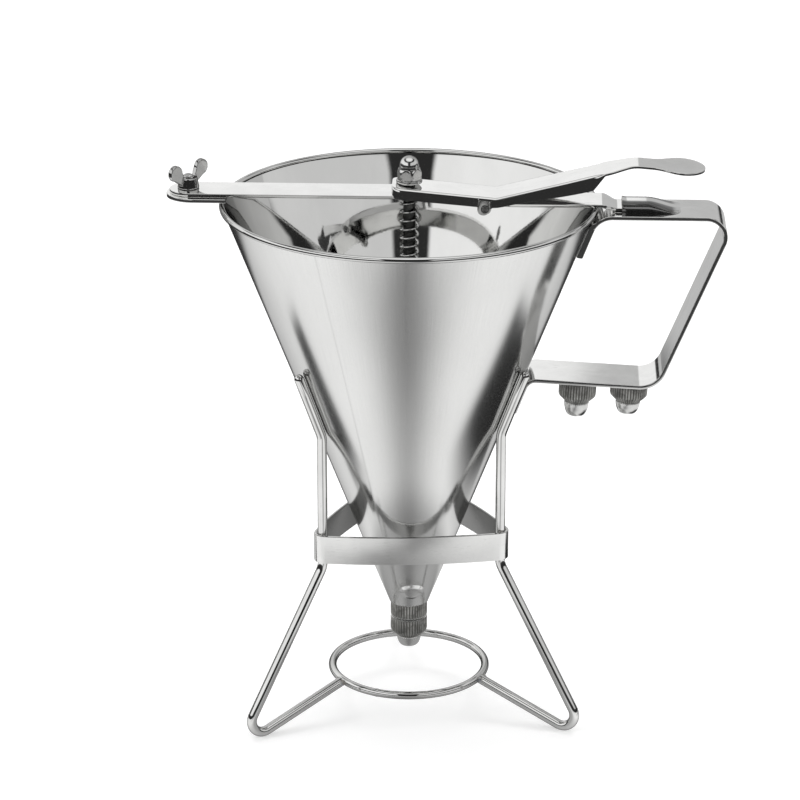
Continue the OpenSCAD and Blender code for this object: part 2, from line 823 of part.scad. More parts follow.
// The lever from above: a tail with round corners, a narrow neck and a round thumb rest
module lever_outline() {
    tail_r = 5;
    rest_l = 11.5;
    flank_fill = 0.67;
    neck_end_x = lever_peak_x + rest_l;
    rest_x = lever_tip_x - rest_l;
    half = concat(
        [for (a = [180 : -15 : 90])
            [tail_r - lever_tail + tail_r * cos(a), lever_w / 2 - tail_r + tail_r * sin(a)]],
        [[skirt_end_x, lever_w / 2], [lever_peak_x, lever_neck_w / 2],
            [neck_end_x, lever_neck_w / 2],
            [(neck_end_x + rest_x) / 2, lever_neck_w / 2 + flank_fill * (paddle_w - lever_neck_w) / 2]],
        [for (a = [90 : -10 : 10]) [rest_x + rest_l * cos(a), paddle_w / 2 * sin(a)]],
        [[lever_tip_x, 0]]);
    for (m = [0, 1])
        mirror([0, m])
            polygon(concat([[-lever_tail, 0]], half));
}

// Slot that lets the lever tilt about the upright rod
module rod_slot() {
    d = rod_d + 2 * loose_gap;
    for (s = [0, 1])
        translate([s * -rod_slot_l / 2, 0])
            circle(d / 2);
    translate([-rod_slot_l / 2, -d / 2])
        square([rod_slot_l / 2, d]);
}

// One side wall, with the round lobe that takes the pin
module lever_skirt() {
    tail_x = 3 - lever_tail;
    under = lever_t / 2;
    side_plate(lever_t) {
        polygon([[tail_x, lever_top(tail_x) - under],
            [lever_bend_x, lever_top(lever_bend_x) - under],
            [skirt_end_x, lever_top(skirt_end_x) - under],
            [skirt_end_x - skirt_end_h, lever_top(skirt_end_x - skirt_end_h) - skirt_end_h],
            [lever_bend_x + 4, lever_top(lever_bend_x + 4) - skirt_bend_h],
            [lever_bend_x, lever_top(lever_bend_x) - skirt_bend_h],
            [tail_x + 3, lever_top(tail_x + 3) - skirt_h],
            [tail_x, lever_top(tail_x) - skirt_h + 2]]);
        translate([pivot_x, pivot_z])
            circle(lobe_r);
        translate([pivot_x - lobe_r, pivot_z])
            square([2 * lobe_r, lever_top(pivot_x) - pivot_z - lever_t]);
    }
}

/* ---- Valve ---- */

module valve_rod() {
    foot_z = plug_z + plug_h;
    color("darkgray")
        translate([0, 0, foot_z])
            cylinder(d = rod_d, h = rod_top_z - foot_z);
}

module valve_plug() {
    nose_h = 0.5;
    flare_h = (plug_d - spout_bore_d) / 2;
    top_h = flare_h + plug_h + 2;
    color("darkgray")
        difference() {
            translate([0, 0, plug_z])
                rotate_extrude()
                    polygon([[0, -nose_h], [spout_bore_d / 2 - nose_h, -nose_h],
                        [plug_d / 2, flare_h], [plug_d / 2, flare_h + plug_h],
                        [rod_d / 2 + 1, top_h], [0, top_h]]);
            translate([0, 0, plug_z + plug_h])
                cylinder(d = rod_d + 2 * thread_gap, h = top_h);
        }
}

module acorn_nut() {
    dome_d = acorn_af - 1;
    color("gainsboro")
        translate([0, 0, acorn_z])
            difference() {
                union() {
                    intersection() {
                        linear_extrude(acorn_hex_h)
                            hexagon(acorn_af);
                        cylinder(d1 = acorn_af + 1 + acorn_hex_h, d2 = acorn_af - 0.2,
                            h = acorn_hex_h);
                    }
                    cylinder(d = dome_d, h = acorn_h - dome_d / 2);
                    translate([0, 0, acorn_h - dome_d / 2])
                        sphere(d = dome_d);
                }
                translate([0, 0, -1])
                    cylinder(d = rod_d + 2 * thread_gap, h = rod_top_z - acorn_z + touch_gap + 1);
            }
}

module nut_washer() {
    color("darkgray")
        translate([0, 0, washer_z])
            washer(nut_washer_d, rod_d + 2 * running_gap, nut_washer_t);
}

// Points of a coil's cross-section, a turn fraction along the spring
function coil_height(turns, total, closed) =
    let (h = spring_l - spring_wire, lead = spring_wire * 1.05,
        open = (h - 2 * closed * lead) / (total - 2 * closed))
    turns < closed ? turns * lead
    : turns > total - closed ? h - (total - turns) * lead
    : closed * lead + (turns - closed) * open;
function coil_ring(turns, total, closed, sides) =
    let (z = spring_low_z + spring_wire / 2 + coil_height(turns, total, closed), a = 360 * turns)
    [for (j = [0 : sides - 1])
        let (r = spring_coil_r + spring_wire / 2 * cos(360 * j / sides))
        [r * cos(a), r * sin(a), z + spring_wire / 2 * sin(360 * j / sides)]];

module return_spring() {
    closed = 1;
    total = floor((spring_l - 2 * closed * spring_wire) / spring_pitch) + 2 * closed;
    steps = 16;
    sides = 8;
    color("darkgray")
        skinned([for (k = [0 : total * steps]) coil_ring(k / steps, total, closed, sides)]);
}

module spring_seat_washer() {
    color("darkgray")
        translate([0, 0, spring_top_z])
            washer(nut_washer_d, rod_d + 2 * loose_gap, seat_washer_t);
}

module spring_lower_washer() {
    color("darkgray")
        translate([0, 0, spring_low_z - seat_washer_t])
            washer(nut_washer_d - 1, rod_d + 2 * thread_gap, seat_washer_t);
}

module spring_stop_nut() {
    color("darkgray")
        translate([0, 0, spring_low_z - seat_washer_t - stop_nut_h])
            difference() {
                linear_extrude(stop_nut_h)
                    hexagon(acorn_af - 1);
                translate([0, 0, -1])
                    cylinder(d = rod_d + 2 * thread_gap, h = stop_nut_h + 2);
            }
}

/* ---- Stand ---- */

// Outline of the band from above, a given distance outside its inner face
function arc_points(centre, r, from, to) =
    [for (k = [0 : arc_steps - 1]) centre + r * step(from + (to - from) * k / arc_steps)];
function band_outline(out) =
    [for (leg = leg_turns)
        each concat(
            arc_points(step(leg) * corner_centre_r, band_corner_r + out,
                leg - corner_turn / 2, leg + corner_turn / 2),
            arc_points(-step(leg + 60) * side_back, side_arc_r + out,
                leg + 60 - side_half_angle, leg + 60 + side_half_angle))];

module stand_band() {
    color("silver")
        translate([0, 0, band_z])
            rotate(stand_turn)
                linear_extrude(band_h)
                    difference() {
                        polygon(band_outline(band_t));
                        polygon(band_outline(0));
                    }
}

// Round section of a wire at a station, in the XZ plane's path
function wire_ring(station, r) =
    [for (j = [0 : wire_sides - 1])
        let (f = 360 * j / wire_sides, p = station[0] + step(station[1] + 90) * r * cos(f))
        [p.x, r * sin(f), p.y]];

// One leg: up along the cone, upright inside the band, out to its foot and back to the ring
module leg(azimuth) {
    run = stations(leg_path, leg_bends);
    r = leg_d / 2;
    up = -step(run[0][1]);
    round_end = [for (a = [80, 60, 35])
        wire_ring([run[0][0] + up * r * sin(a), run[0][1]], r * cos(a))];
    color("silver")
        rotate(stand_turn + azimuth)
            skinned(concat(round_end, [for (place = run) wire_ring(place, r)]));
}

module leg_front_left() {
    leg(leg_turns[2]);
}

module leg_front_right() {
    leg(leg_turns[0]);
}

module leg_back() {
    leg(leg_turns[1]);
}

module stand_ring() {
    color("silver")
        translate([0, 0, ring_z])
            rotate_extrude()
                translate([ring_r, 0])
                    circle(ring_wire_d / 2);
}

funnel_cone();
threaded_spout();
spout_collar();
nozzle_fitted();
spare_nozzle_inner();
spare_nozzle_outer();
handle_strip();
spare_stud_inner();
spare_stud_outer();
bar_clip();
stud_lug();
clamp_stud();
wing_nut();
cross_bar();
pivot_pin();
lever();
valve_rod();
valve_plug();
acorn_nut();
nut_washer();
return_spring();
spring_seat_washer();
spring_lower_washer();
spring_stop_nut();
stand_band();
leg_front_left();
leg_front_right();
leg_back();
stand_ring();
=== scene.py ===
from bisect import bisect_left
from math import (asin, atan, atan2, ceil, copysign, cos, degrees, exp, hypot, pi, radians,
                  remainder, sin, sqrt, tan)

import bpy
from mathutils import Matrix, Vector


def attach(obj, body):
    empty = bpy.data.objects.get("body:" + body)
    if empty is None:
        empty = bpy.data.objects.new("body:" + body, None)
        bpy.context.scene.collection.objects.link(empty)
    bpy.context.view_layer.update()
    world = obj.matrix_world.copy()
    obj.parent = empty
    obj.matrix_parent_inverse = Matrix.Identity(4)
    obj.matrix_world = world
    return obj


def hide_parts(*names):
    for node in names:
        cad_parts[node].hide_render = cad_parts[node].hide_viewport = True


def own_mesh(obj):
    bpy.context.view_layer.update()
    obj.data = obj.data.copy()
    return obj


bl_info = {
    "name": "Batter dispenser",
    "version": (1, 0, 0),
    "blender": (4, 5, 0),
    "location": "View3D > Sidebar > Dispenser",
    "description": "Detailed pieces and finishes for a hand-held batter dispenser on its stand",
    "category": "Object",
}

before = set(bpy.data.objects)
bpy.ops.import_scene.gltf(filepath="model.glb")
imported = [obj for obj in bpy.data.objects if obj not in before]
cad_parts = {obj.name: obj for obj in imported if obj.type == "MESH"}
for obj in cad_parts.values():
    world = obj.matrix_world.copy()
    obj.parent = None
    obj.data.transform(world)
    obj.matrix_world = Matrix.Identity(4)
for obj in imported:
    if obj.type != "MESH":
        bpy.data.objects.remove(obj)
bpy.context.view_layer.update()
MM = 0.001
WHOLE_TURN = 2 * pi


# ---------------------------------------------------------------- sizes and colours

def size(name, text, value, low=0.0):
    """A length property in metres, from a value in millimetres."""
    return bpy.props.FloatProperty(name=name, description=text, default=value * MM,
                                   min=low, unit="LENGTH", subtype="DISTANCE")


def turn(name, text, value):
    """An angle property, from a value in degrees."""
    return bpy.props.FloatProperty(name=name, description=text, default=radians(value),
                                   subtype="ANGLE")


def colour(name, text, value):
    return bpy.props.FloatVectorProperty(name=name, description=text, default=value,
                                         size=3, min=0, max=1, subtype="COLOR")


def share(name, text, value):
    return bpy.props.FloatProperty(name=name, description=text, default=value,
                                   min=0, max=1, subtype="FACTOR")


class FunnelSizes(bpy.types.PropertyGroup):
    """Sizes of the cone, its rim and its seam"""
    base_z: size("Base height", "Height of the cone's lower edge", 56)
    height: size("Height", "From the lower edge to the middle of the rim", 215)
    rim_r: size("Rim radius", "Radius of the middle of the rolled rim", 93.5)
    bead_r: size("Bead radius", "Radius of the rolled rim's tube", 1.5)
    bottom_r: size("Lower radius", "Outside radius of the cone's lower edge", 10.2)
    wall: size("Sheet", "Thickness of the cone's sheet", 1.0)
    seam_turn: turn("Seam", "Azimuth of the welded seam", 243)
    seam_rise: size("Seam rise", "Height of the welded seam over the sheet", 0.03)


class SpoutSizes(bpy.types.PropertyGroup):
    """Sizes of the collar and the three nozzles"""
    outer_r: size("Radius", "Radius over the knurl's ridges", 9.5)
    thread_r: size("Socket radius", "Radius of the threaded socket", 8.05)
    collar_h: size("Collar height", "Height of the knurled collar", 8.4)
    straight_h: size("Straight part", "Height of the straight knurl", 8)
    taper_h: size("Tapered part", "Height of the tapered knurl", 3)
    nose_h: size("Nose", "Height of the smooth nose", 6)
    inner_straight_h: size("Inner knurl", "Straight knurl of the inner spare nozzle", 10)
    inner_nose_h: size("Inner nose", "Nose of the inner spare nozzle", 7.8)
    outer_nose_h: size("Outer nose", "Nose of the outer spare nozzle", 6.8)
    neck_r: size("Neck radius", "Radius where the knurl ends", 6.3)
    tip_r: size("Tip radius", "Radius of the flat tip", 3.4)
    ridge: size("Ridge", "Depth of the knurl", 0.42)
    ridges: bpy.props.IntProperty(name="Ridges", description="Ridges round the knurl",
                                  default=40, min=12, max=80)


class HandleSizes(bpy.types.PropertyGroup):
    """Sizes and lean of the strip handle"""
    width: size("Width", "Width of the strip", 31)
    sheet: size("Thickness", "Thickness of the strip", 2)
    edge: size("Edge radius", "Rounding of the strip's edges", 0.45)
    top_z: size("Top run", "Height of the top run's middle", 268.9)
    reach: size("Reach", "Where the top run and the grip would meet", 162)
    lean: turn("Lean", "Lean of the grip", 22.4)
    low_z: size("Lower run", "Height of the lower run at the cone", 183)
    slope: turn("Slope", "Slope of the lower run", 3)
    end_l: size("Welded end", "Length of each welded end", 15)


class BarSizes(bpy.types.PropertyGroup):
    """Sizes of the cross bar and the place of its pivot pin"""
    width: size("Width", "Width of the bar", 21)
    sheet: size("Thickness", "Thickness of the bar", 1.8)
    left_x: size("Left end", "Place of the round end", -120, -1)
    high_z: size("High run", "Height of the high run's middle", 276.8)
    low_z: size("Low run", "Height of the low run's middle", 273.55)
    tongue_w: size("Tongue", "Width of the tongue", 15)
    right_x: size("Right end", "Place of the tongue's end", 116)
    pivot_x: size("Pivot place", "Place of the pivot pin", 38)
    pivot_z: size("Pivot height", "Height of the pivot pin", 271.779)
    pin_r: size("Pin radius", "Radius of the pivot pin", 1.5)


class LeverSizes(bpy.types.PropertyGroup):
    """Sizes of the folded lever"""
    width: size("Width", "Width over the side walls", 24)
    neck_w: size("Neck", "Width of the neck", 16)
    rest_w: size("Thumb rest", "Width of the thumb rest", 27.5)
    sheet: size("Thickness", "Thickness of the sheet", 1.2)
    fold_r: size("Fold", "Outer radius of the side folds", 1.7)


class ValveSizes(bpy.types.PropertyGroup):
    """Sizes of the acorn nut and the return spring"""
    washer_z: size("Washer height", "Underside of the washer under the acorn nut", 281.798)
    across: size("Across flats", "Width of the acorn nut across its flats", 11)
    nut_h: size("Acorn nut", "Height of the acorn nut", 12)
    spring_top: size("Spring top", "Height of the spring's top", 274.9)
    spring_l: size("Spring length", "Length of the fitted spring", 40)
    spring_r: size("Spring radius", "Outside radius of the spring", 5)
    wire: size("Spring wire", "Diameter of the spring's wire", 1.3)


class StandSizes(bpy.types.PropertyGroup):
    """Sizes of the legs, the base ring and the band"""
    wire_r: size("Leg wire", "Radius of the leg wire", 2.5)
    ring_wire_r: size("Ring wire", "Radius of the ring's wire", 2)
    leg_r: size("Leg distance", "Distance of the upright legs from the axis", 52.2)
    top_z: size("Leg tops", "Height of the legs' ends", 190)
    foot_r: size("Reach", "Outermost reach of the feet", 95.5)
    ring_r: size("Ring radius", "Radius of the base ring", 39.9)
    ring_z: size("Ring height", "Height of the base ring", 19)
    band_z: size("Band height", "Height of the band's lower edge", 89.5)
    band_h: size("Band width", "Height of the band", 15)
    band_t: size("Band thickness", "Thickness of the band", 1.5)
    band_side: size("Band sides", "Distance of the band's sides from the axis", 33.4)
    turned: turn("Turn", "Turn of the stand under the funnel", 5)


class Finishes(bpy.types.PropertyGroup):
    """Colours and roughness of the steels"""
    satin: colour("Satin steel", "Outside of the cone", (0.78, 0.78, 0.77))
    bright: colour("Bright steel", "Polished sheet and fasteners", (0.80, 0.80, 0.79))
    wire: colour("Wire steel", "Legs, ring and band of the stand", (0.78, 0.78, 0.77))
    turned: colour("Turned steel", "Rod, plug, studs and spout", (0.62, 0.62, 0.61))
    dull: colour("Dull knurl", "Collar and nozzles", (0.30, 0.30, 0.288))
    soot: colour("Groove dirt", "Dirt in the knurl's grooves", (0.10, 0.095, 0.088))
    satin_rough: share("Satin roughness", "Roughness of the cone's outside", 0.14)
    bright_rough: share("Polish roughness", "Roughness of the polished sheet", 0.07)


GROUPS = {"funnel": FunnelSizes, "spout": SpoutSizes, "handle": HandleSizes, "bar": BarSizes,
          "lever": LeverSizes, "valve": ValveSizes, "stand": StandSizes, "finish": Finishes}


class DispenserSettings(bpy.types.PropertyGroup):
    """All sizes and finishes of the dispenser"""
    __annotations__ = {key: bpy.props.PointerProperty(type=group, name=key.capitalize(),
                                                      description=group.__doc__)
                       for key, group in GROUPS.items()}


class Millimetres:
    """Reads a group's lengths in millimetres, and its other values as they are."""

    def __init__(self, group):
        self.group = group

    def __getattr__(self, name):
        value = getattr(self.group, name)
        return value / MM if self.group.bl_rna.properties[name].unit == "LENGTH" else value


def sizes(name):
    """A group of sizes, in millimetres."""
    return Millimetres(getattr(bpy.context.scene.dispenser, name))


# ---------------------------------------------------------------- shader expressions

class Net:
    """The node tree of a new material, or of a given world."""

    def __init__(self, owner):
        self.owner = bpy.data.materials.new(owner) if isinstance(owner, str) else owner
        self.owner.use_nodes = True
        self.tree = self.owner.node_tree
        self.tree.nodes.clear()

    def node(self, kind, options=None, inputs=None, output=0):
        """Adds a node, sets its options first, then its inputs, and returns one output."""
        made = self.tree.nodes.new(kind)
        for key, value in (options or {}).items():
            setattr(made, key, value)
        for key, value in (inputs or {}).items():
            if isinstance(value, Value):
                self.tree.links.new(value.socket, made.inputs[key])
            else:
                made.inputs[key].default_value = value
        return Value(self, made.outputs[output]) if made.outputs else None

    def place(self):
        """Position in the part's frame, in metres."""
        return self.node("ShaderNodeTexCoord", output="Object")

    def noise(self, vector, scale, detail=3.0, rough=0.5):
        return self.node("ShaderNodeTexNoise", {"noise_dimensions": "3D"},
                         {"Vector": vector, "Scale": scale, "Detail": detail,
                          "Roughness": rough})

    def attribute(self, name):
        return self.node("ShaderNodeAttribute", {"attribute_name": name}, output="Fac")

    def stretched(self, vector, factors):
        return self.node("ShaderNodeVectorMath", {"operation": "MULTIPLY"},
                         {0: vector, 1: factors})

    def tint(self, amount, low, high):
        """Blends two colours by an amount."""
        return self.node("ShaderNodeMix", {"data_type": "RGBA"},
                         {0: amount, 6: low if isinstance(low, Value) else (*low, 1),
                          7: high if isinstance(high, Value) else (*high, 1)}, output=2)

    def steel(self, tone, roughness, height, depth, edge=1.0):
        """Finishes the tree as metal, bumped by a height; edge is its tone where it turns away."""
        bump = self.node("ShaderNodeBump", None,
                         {"Strength": 1.0, "Distance": depth, "Height": height})
        # painted shade: an edge tint below 1 darkens the reflection where the surface turns away,
        # as dark outlines
        return self.shown(self.node("ShaderNodeBsdfPrincipled", None, {
            "Base Color": tone, "Roughness": roughness, "Metallic": 1.0,
            "Specular Tint": (edge, edge, edge, 1), "Normal": bump}))

    def shown(self, shader, kind="ShaderNodeOutputMaterial"):
        """Puts a shader on the tree's output, and returns the material or world."""
        self.node(kind, None, {"Surface": shader})
        return self.owner


class Value:
    """A socket that Python arithmetic can be done on."""

    def __init__(self, net, socket):
        self.net, self.socket = net, socket

    def math(self, operation, *others):
        return self.net.node("ShaderNodeMath", {"operation": operation},
                             dict(enumerate((self,) + others)))

    def __add__(self, other):
        return self.math("ADD", other)

    def __mul__(self, other):
        return self.math("MULTIPLY", other)

    def __sub__(self, other):
        return self.math("SUBTRACT", other)

    def __truediv__(self, other):
        return self.math("DIVIDE", other)

    def __rsub__(self, other):
        return self.net.node("ShaderNodeMath", {"operation": "SUBTRACT"}, {0: other, 1: self})

    def __rtruediv__(self, other):
        return self.net.node("ShaderNodeMath", {"operation": "DIVIDE"}, {0: other, 1: self})

    def __pow__(self, other):
        return self.math("POWER", other)

    __radd__ = __add__
    __rmul__ = __mul__

    def clamped(self):
        return self.net.node("ShaderNodeClamp", None, {0: self})

    def between(self, low, high):
        """Smooth step from 0 at low to 1 at high."""
        return self.net.node("ShaderNodeMapRange", {"interpolation_type": "SMOOTHSTEP"},
                             {0: self, 1: low, 2: high, 3: 0.0, 4: 1.0})

    def inside(self, low, high, soft):
        """1 between two limits and 0 outside them, with soft edges."""
        return (self.between(low - soft, low + soft)
                * (1.0 - self.between(high - soft, high + soft)))

    def part(self, axis):
        """One coordinate of a vector."""
        return self.net.node("ShaderNodeSeparateXYZ", None, {0: self}, "XYZ".index(axis))


def shaded(rgb, factor):
    return tuple(max(0.0, min(1.0, c * factor)) for c in rgb)


def satin_finish(name):
    """Satin sheet: a fine grain that runs up the cone, faint smears and a darker seam."""
    f, net = sizes("finish"), Net(name)
    place = net.place()
    azimuth = place.part("Y").math("ARCTAN2", place.part("X"))
    grain_place = net.node("ShaderNodeCombineXYZ", None,
                           {0: azimuth * 90.0, 1: place.part("Z") * 6.0, 2: 0.0})
    grain = net.noise(grain_place, 6.0, 4.0)
    smear = net.noise(net.stretched(place, (1, 1, 0.45)), 22.0, 5.0, 0.55)
    fleck = net.noise(place, 900.0, 2.0)
    seam = net.attribute("seam")
    tone = (grain * 0.45 + smear * 0.4 + fleck * 0.15).between(0.32, 0.68)
    sheet = net.tint(tone, shaded(f.satin, 0.95), shaded(f.satin, 1.05))
    sheet = net.tint(seam * 0.2, sheet, shaded(f.satin, 0.7))
    rough = f.satin_rough - 0.05 + grain * 0.05 + smear * 0.06 + seam * 0.1
    return net.steel(sheet, rough, grain * 0.6 + fleck * 0.4, depth=0.0000025, edge=0.55)


def bowl_finish(name):
    """Polished inside of the cone, with faint smears."""
    f, net = sizes("finish"), Net(name)
    place = net.place()
    smear = net.noise(net.stretched(place, (1, 1, 0.4)), 30.0, 5.0, 0.6)
    fleck = net.noise(place, 700.0, 2.0)
    sheet = net.tint(smear.between(0.35, 0.7), shaded(f.bright, 0.93), f.bright)
    return net.steel(sheet, 0.02 + smear * 0.04, fleck, depth=0.000002, edge=0.4)


def bright_finish(name, base, run, rough, edge=1.0):
    """Polished steel with hairline scratches along a run, finger smears and dull places."""
    net = Net(name)
    place = net.place()
    smear = net.noise(place, 60.0, 5.0, 0.6)
    lines = net.noise(net.stretched(place, run), 420.0, 3.0, 0.7)
    scratch = lines.between(0.60, 0.74)
    dull = net.attribute("dull")
    sheet = net.tint(smear.between(0.3, 0.7), shaded(base, 0.94), shaded(base, 1.03))
    sheet = net.tint(scratch * 0.35, sheet, shaded(base, 0.72))
    # painted shade: the marked places are darkened almost to black, and made rougher below
    sheet = net.tint(dull * 0.92, sheet, shaded(base, 0.16))
    spread = rough - 0.03 + smear * 0.07 + scratch * 0.09 + dull * 0.12
    return net.steel(sheet, spread, lines, 0.000004, edge)


def knurl_finish(name):
    """Dull, faintly pitted steel, with dirt in the grooves and rubbed ridges."""
    f, net = sizes("finish"), Net(name)
    place = net.place()
    groove, rub, plain = (net.attribute(key) for key in ("groove", "rub", "plain"))
    cloud = net.noise(place, 240.0, 5.0, 0.6)
    pit = net.noise(place, 1500.0, 3.0)
    sheet = net.tint(cloud.between(0.3, 0.72), shaded(f.dull, 0.82), shaded(f.dull, 1.22))
    sheet = net.tint((groove * (0.55 + cloud * 0.5)).clamped(), sheet, f.soot)
    sheet = net.tint(rub * cloud.between(0.35, 0.6) * 0.7, sheet, shaded(f.dull, 1.75))
    sheet = net.tint(plain * 0.95, sheet, shaded(f.turned, 1.1))
    rough = 0.40 + groove * 0.18 - rub * 0.14 + (cloud - 0.5) * 0.2 - plain * 0.2
    return net.steel(sheet, rough, pit * 0.5 + cloud * 0.5, depth=0.00002)


def turned_finish(name, base, rough, edge=1.0):
    """Turned steel with tool rings along Z."""
    net = Net(name)
    place = net.place()
    rings = net.noise(net.stretched(place, (2, 2, 60)), 60.0, 3.0)
    cloud = net.noise(place, 150.0, 4.0)
    sheet = net.tint(rings.between(0.3, 0.7), shaded(base, 0.86), shaded(base, 1.1))
    sheet = net.tint(cloud.between(0.55, 0.8) * 0.4, sheet, shaded(base, 0.6))
    return net.steel(sheet, rough + rings * 0.1 + cloud * 0.06, rings, 0.000015, edge)


def weld_finish(name):
    """Small bead of weld: rippled, with straw and blue heat tint."""
    f, net = sizes("finish"), Net(name)
    straw, blue = (0.50, 0.45, 0.38), (0.42, 0.44, 0.50)
    place = net.place()
    ripple = net.noise(place, 900.0, 3.0)
    heat = net.tint(net.noise(place, 350.0, 2.0).between(0.35, 0.65), straw, blue)
    sheet = net.tint(ripple.between(0.3, 0.7), heat, shaded(f.wire, 0.85))
    return net.steel(sheet, 0.22 + ripple * 0.2, ripple, depth=0.00008)


FINISHES = {}


def make_finishes():
    """Makes every steel finish from its colour, scratch run, roughness and edge tint."""
    f = sizes("finish")
    for name, make, *looks in (
            ("cone_satin", satin_finish),
            ("cone_inside", bowl_finish),
            ("bright_sheet", bright_finish, f.bright, (0.15, 1, 1), f.bright_rough),
            ("bright_handle", bright_finish, f.bright, (0.3, 1, 0.3), 0.09),
            ("bright_fastener", bright_finish, shaded(f.bright, 0.95), (1, 1, 1), 0.12, 0.2),
            ("stand_sheet", bright_finish, shaded(f.wire, 1.08), (0.4, 0.4, 3), 0.11, 0.3),
            ("stand_wire", bright_finish, f.wire, (1, 1, 0.3), 0.04, 0.0),
            ("turned_steel", turned_finish, f.turned, 0.24),
            ("spring_wire", turned_finish, shaded(f.turned, 1.25), 0.1, 0.0),
            # painted shade: the rod and the pivot rivet get the turned steel at a quarter of its
            # tone
            ("rod_steel", turned_finish, shaded(f.turned, 0.25), 0.16, 0.2),
            ("cast_nut", bright_finish, shaded(f.bright, 0.72), (1, 1, 1), 0.08, 0.0),
            ("knurled_dull", knurl_finish),
            ("weld_bead", weld_finish)):
        FINISHES[name] = make(name, *looks)


# ---------------------------------------------------------------- pieces

def linked(name, data):
    """Puts a new object in the scene."""
    made = bpy.data.objects.new(name, data)
    bpy.context.scene.collection.objects.link(made)
    return made


def settle(made):
    """Works an object's modifiers into its mesh."""
    graph = bpy.context.evaluated_depsgraph_get()
    finished = bpy.data.meshes.new_from_object(made.evaluated_get(graph))
    made.modifiers.clear()
    made.data = finished


def flatten(made):
    """Lets large faces keep their own direction, so that only the edges look round."""
    made.modifiers.new("flat faces", "WEIGHTED_NORMAL").keep_sharp = True
    settle(made)


def fitted(made, body, finish, replaced=()):
    """Gives a piece its finish and slot, and lets it ride on a body in its nodes' place."""
    made.data.materials.clear()
    made.data.materials.append(FINISHES[finish])
    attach(made, body)
    if replaced:
        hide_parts(*replaced)
    return made


def piece(name, shape, body, finish, replaced=(), sharp=32, values=None, flat=False):
    """Makes a piece from points in millimetres and faces, with values at its points."""
    points, faces = shape
    mesh = bpy.data.meshes.new(name)
    mesh.from_pydata([Vector(p) * MM for p in points], [], outward(points, faces))
    mesh.validate()
    mesh.update()
    mesh.shade_smooth()
    mesh.set_sharp_from_angle(angle=radians(sharp))
    for key, numbers in (values or {}).items():
        mesh.attributes.new(key, "FLOAT", "POINT").data.foreach_set("value", numbers)
    made = linked(name, mesh)
    if flat:
        flatten(made)
    return fitted(made, body, finish, replaced)


# ---------------------------------------------------------------- shapes

def outward(points, faces):
    """Turns the faces so that a closed shape's volume is positive."""
    volume = 0.0
    for face in faces:
        a = Vector(points[face[0]])
        for i in range(1, len(face) - 1):
            volume += a.dot(Vector(points[face[i]]).cross(Vector(points[face[i + 1]])))
    return faces if volume > 0 else [face[::-1] for face in faces]


def skin(rings, caps=True, joined=False):
    """Points and faces over a row of rings that have the same number of points."""
    n, count, faces = len(rings[0]), len(rings), []
    for k in range(count if joined else count - 1):
        a, b = k * n, (k + 1) % count * n
        faces += [(a + i, a + (i + 1) % n, b + (i + 1) % n, b + i) for i in range(n)]
    if caps and not joined:
        faces += [tuple(range(n))[::-1], tuple((count - 1) * n + i for i in range(n))]
    return [p for ring in rings for p in ring], faces


def wrapped(sections):
    """Points and faces over closed sections that stand all round the axis."""
    n, count, faces = len(sections[0]), len(sections), []
    for k in range(count):
        a, b = k * n, (k + 1) % count * n
        faces += [(a + i, b + i, b + (i + 1) % n, a + (i + 1) % n) for i in range(n)]
    return [p for section in sections for p in section], faces


def merged(parts):
    """One shape of several closed ones."""
    points, faces = [], []
    for more, more_faces in parts:
        base = len(points)
        faces += [tuple(base + i for i in face) for face in outward(more, more_faces)]
        points += more
    return points, faces


def polar(r, a, z=0.0):
    return (r * cos(a), r * sin(a), z)


def round_z(point, angle):
    c, s = cos(angle), sin(angle)
    return (point[0] * c - point[1] * s, point[0] * s + point[1] * c, point[2])


def circle(count):
    return [WHOLE_TURN * i / count for i in range(count)]


def arc(first, end, step):
    """Angles from the first degree to before the end, in radians."""
    return [radians(a) for a in range(first, end, step)]


def eased(s):
    """Smooth step from 0 at 0 to 1 at 1."""
    s = min(max(s, 0.0), 1.0)
    return s * s * (3 - 2 * s)


def table_value(table, x):
    """Smooth value between the rows of a table of (x, value)."""
    if x <= table[0][0]:
        return table[0][1]
    for (x0, v0), (x1, v1) in zip(table, table[1:]):
        if x <= x1:
            return v0 + (v1 - v0) * eased((x - x0) / (x1 - x0))
    return table[-1][1]


def rounded_end(distance, radius, full):
    """Half width near a round end that grows to the full half width."""
    if distance >= radius:
        return full
    return full - radius + sqrt(max(radius ** 2 - (radius - distance) ** 2, 0.0))


def round_marks(radius, step):
    """Distances into a round end at which its outline has turned by equal steps."""
    return [radius * (1 - cos(a)) for a in arc(0, 91, step)]


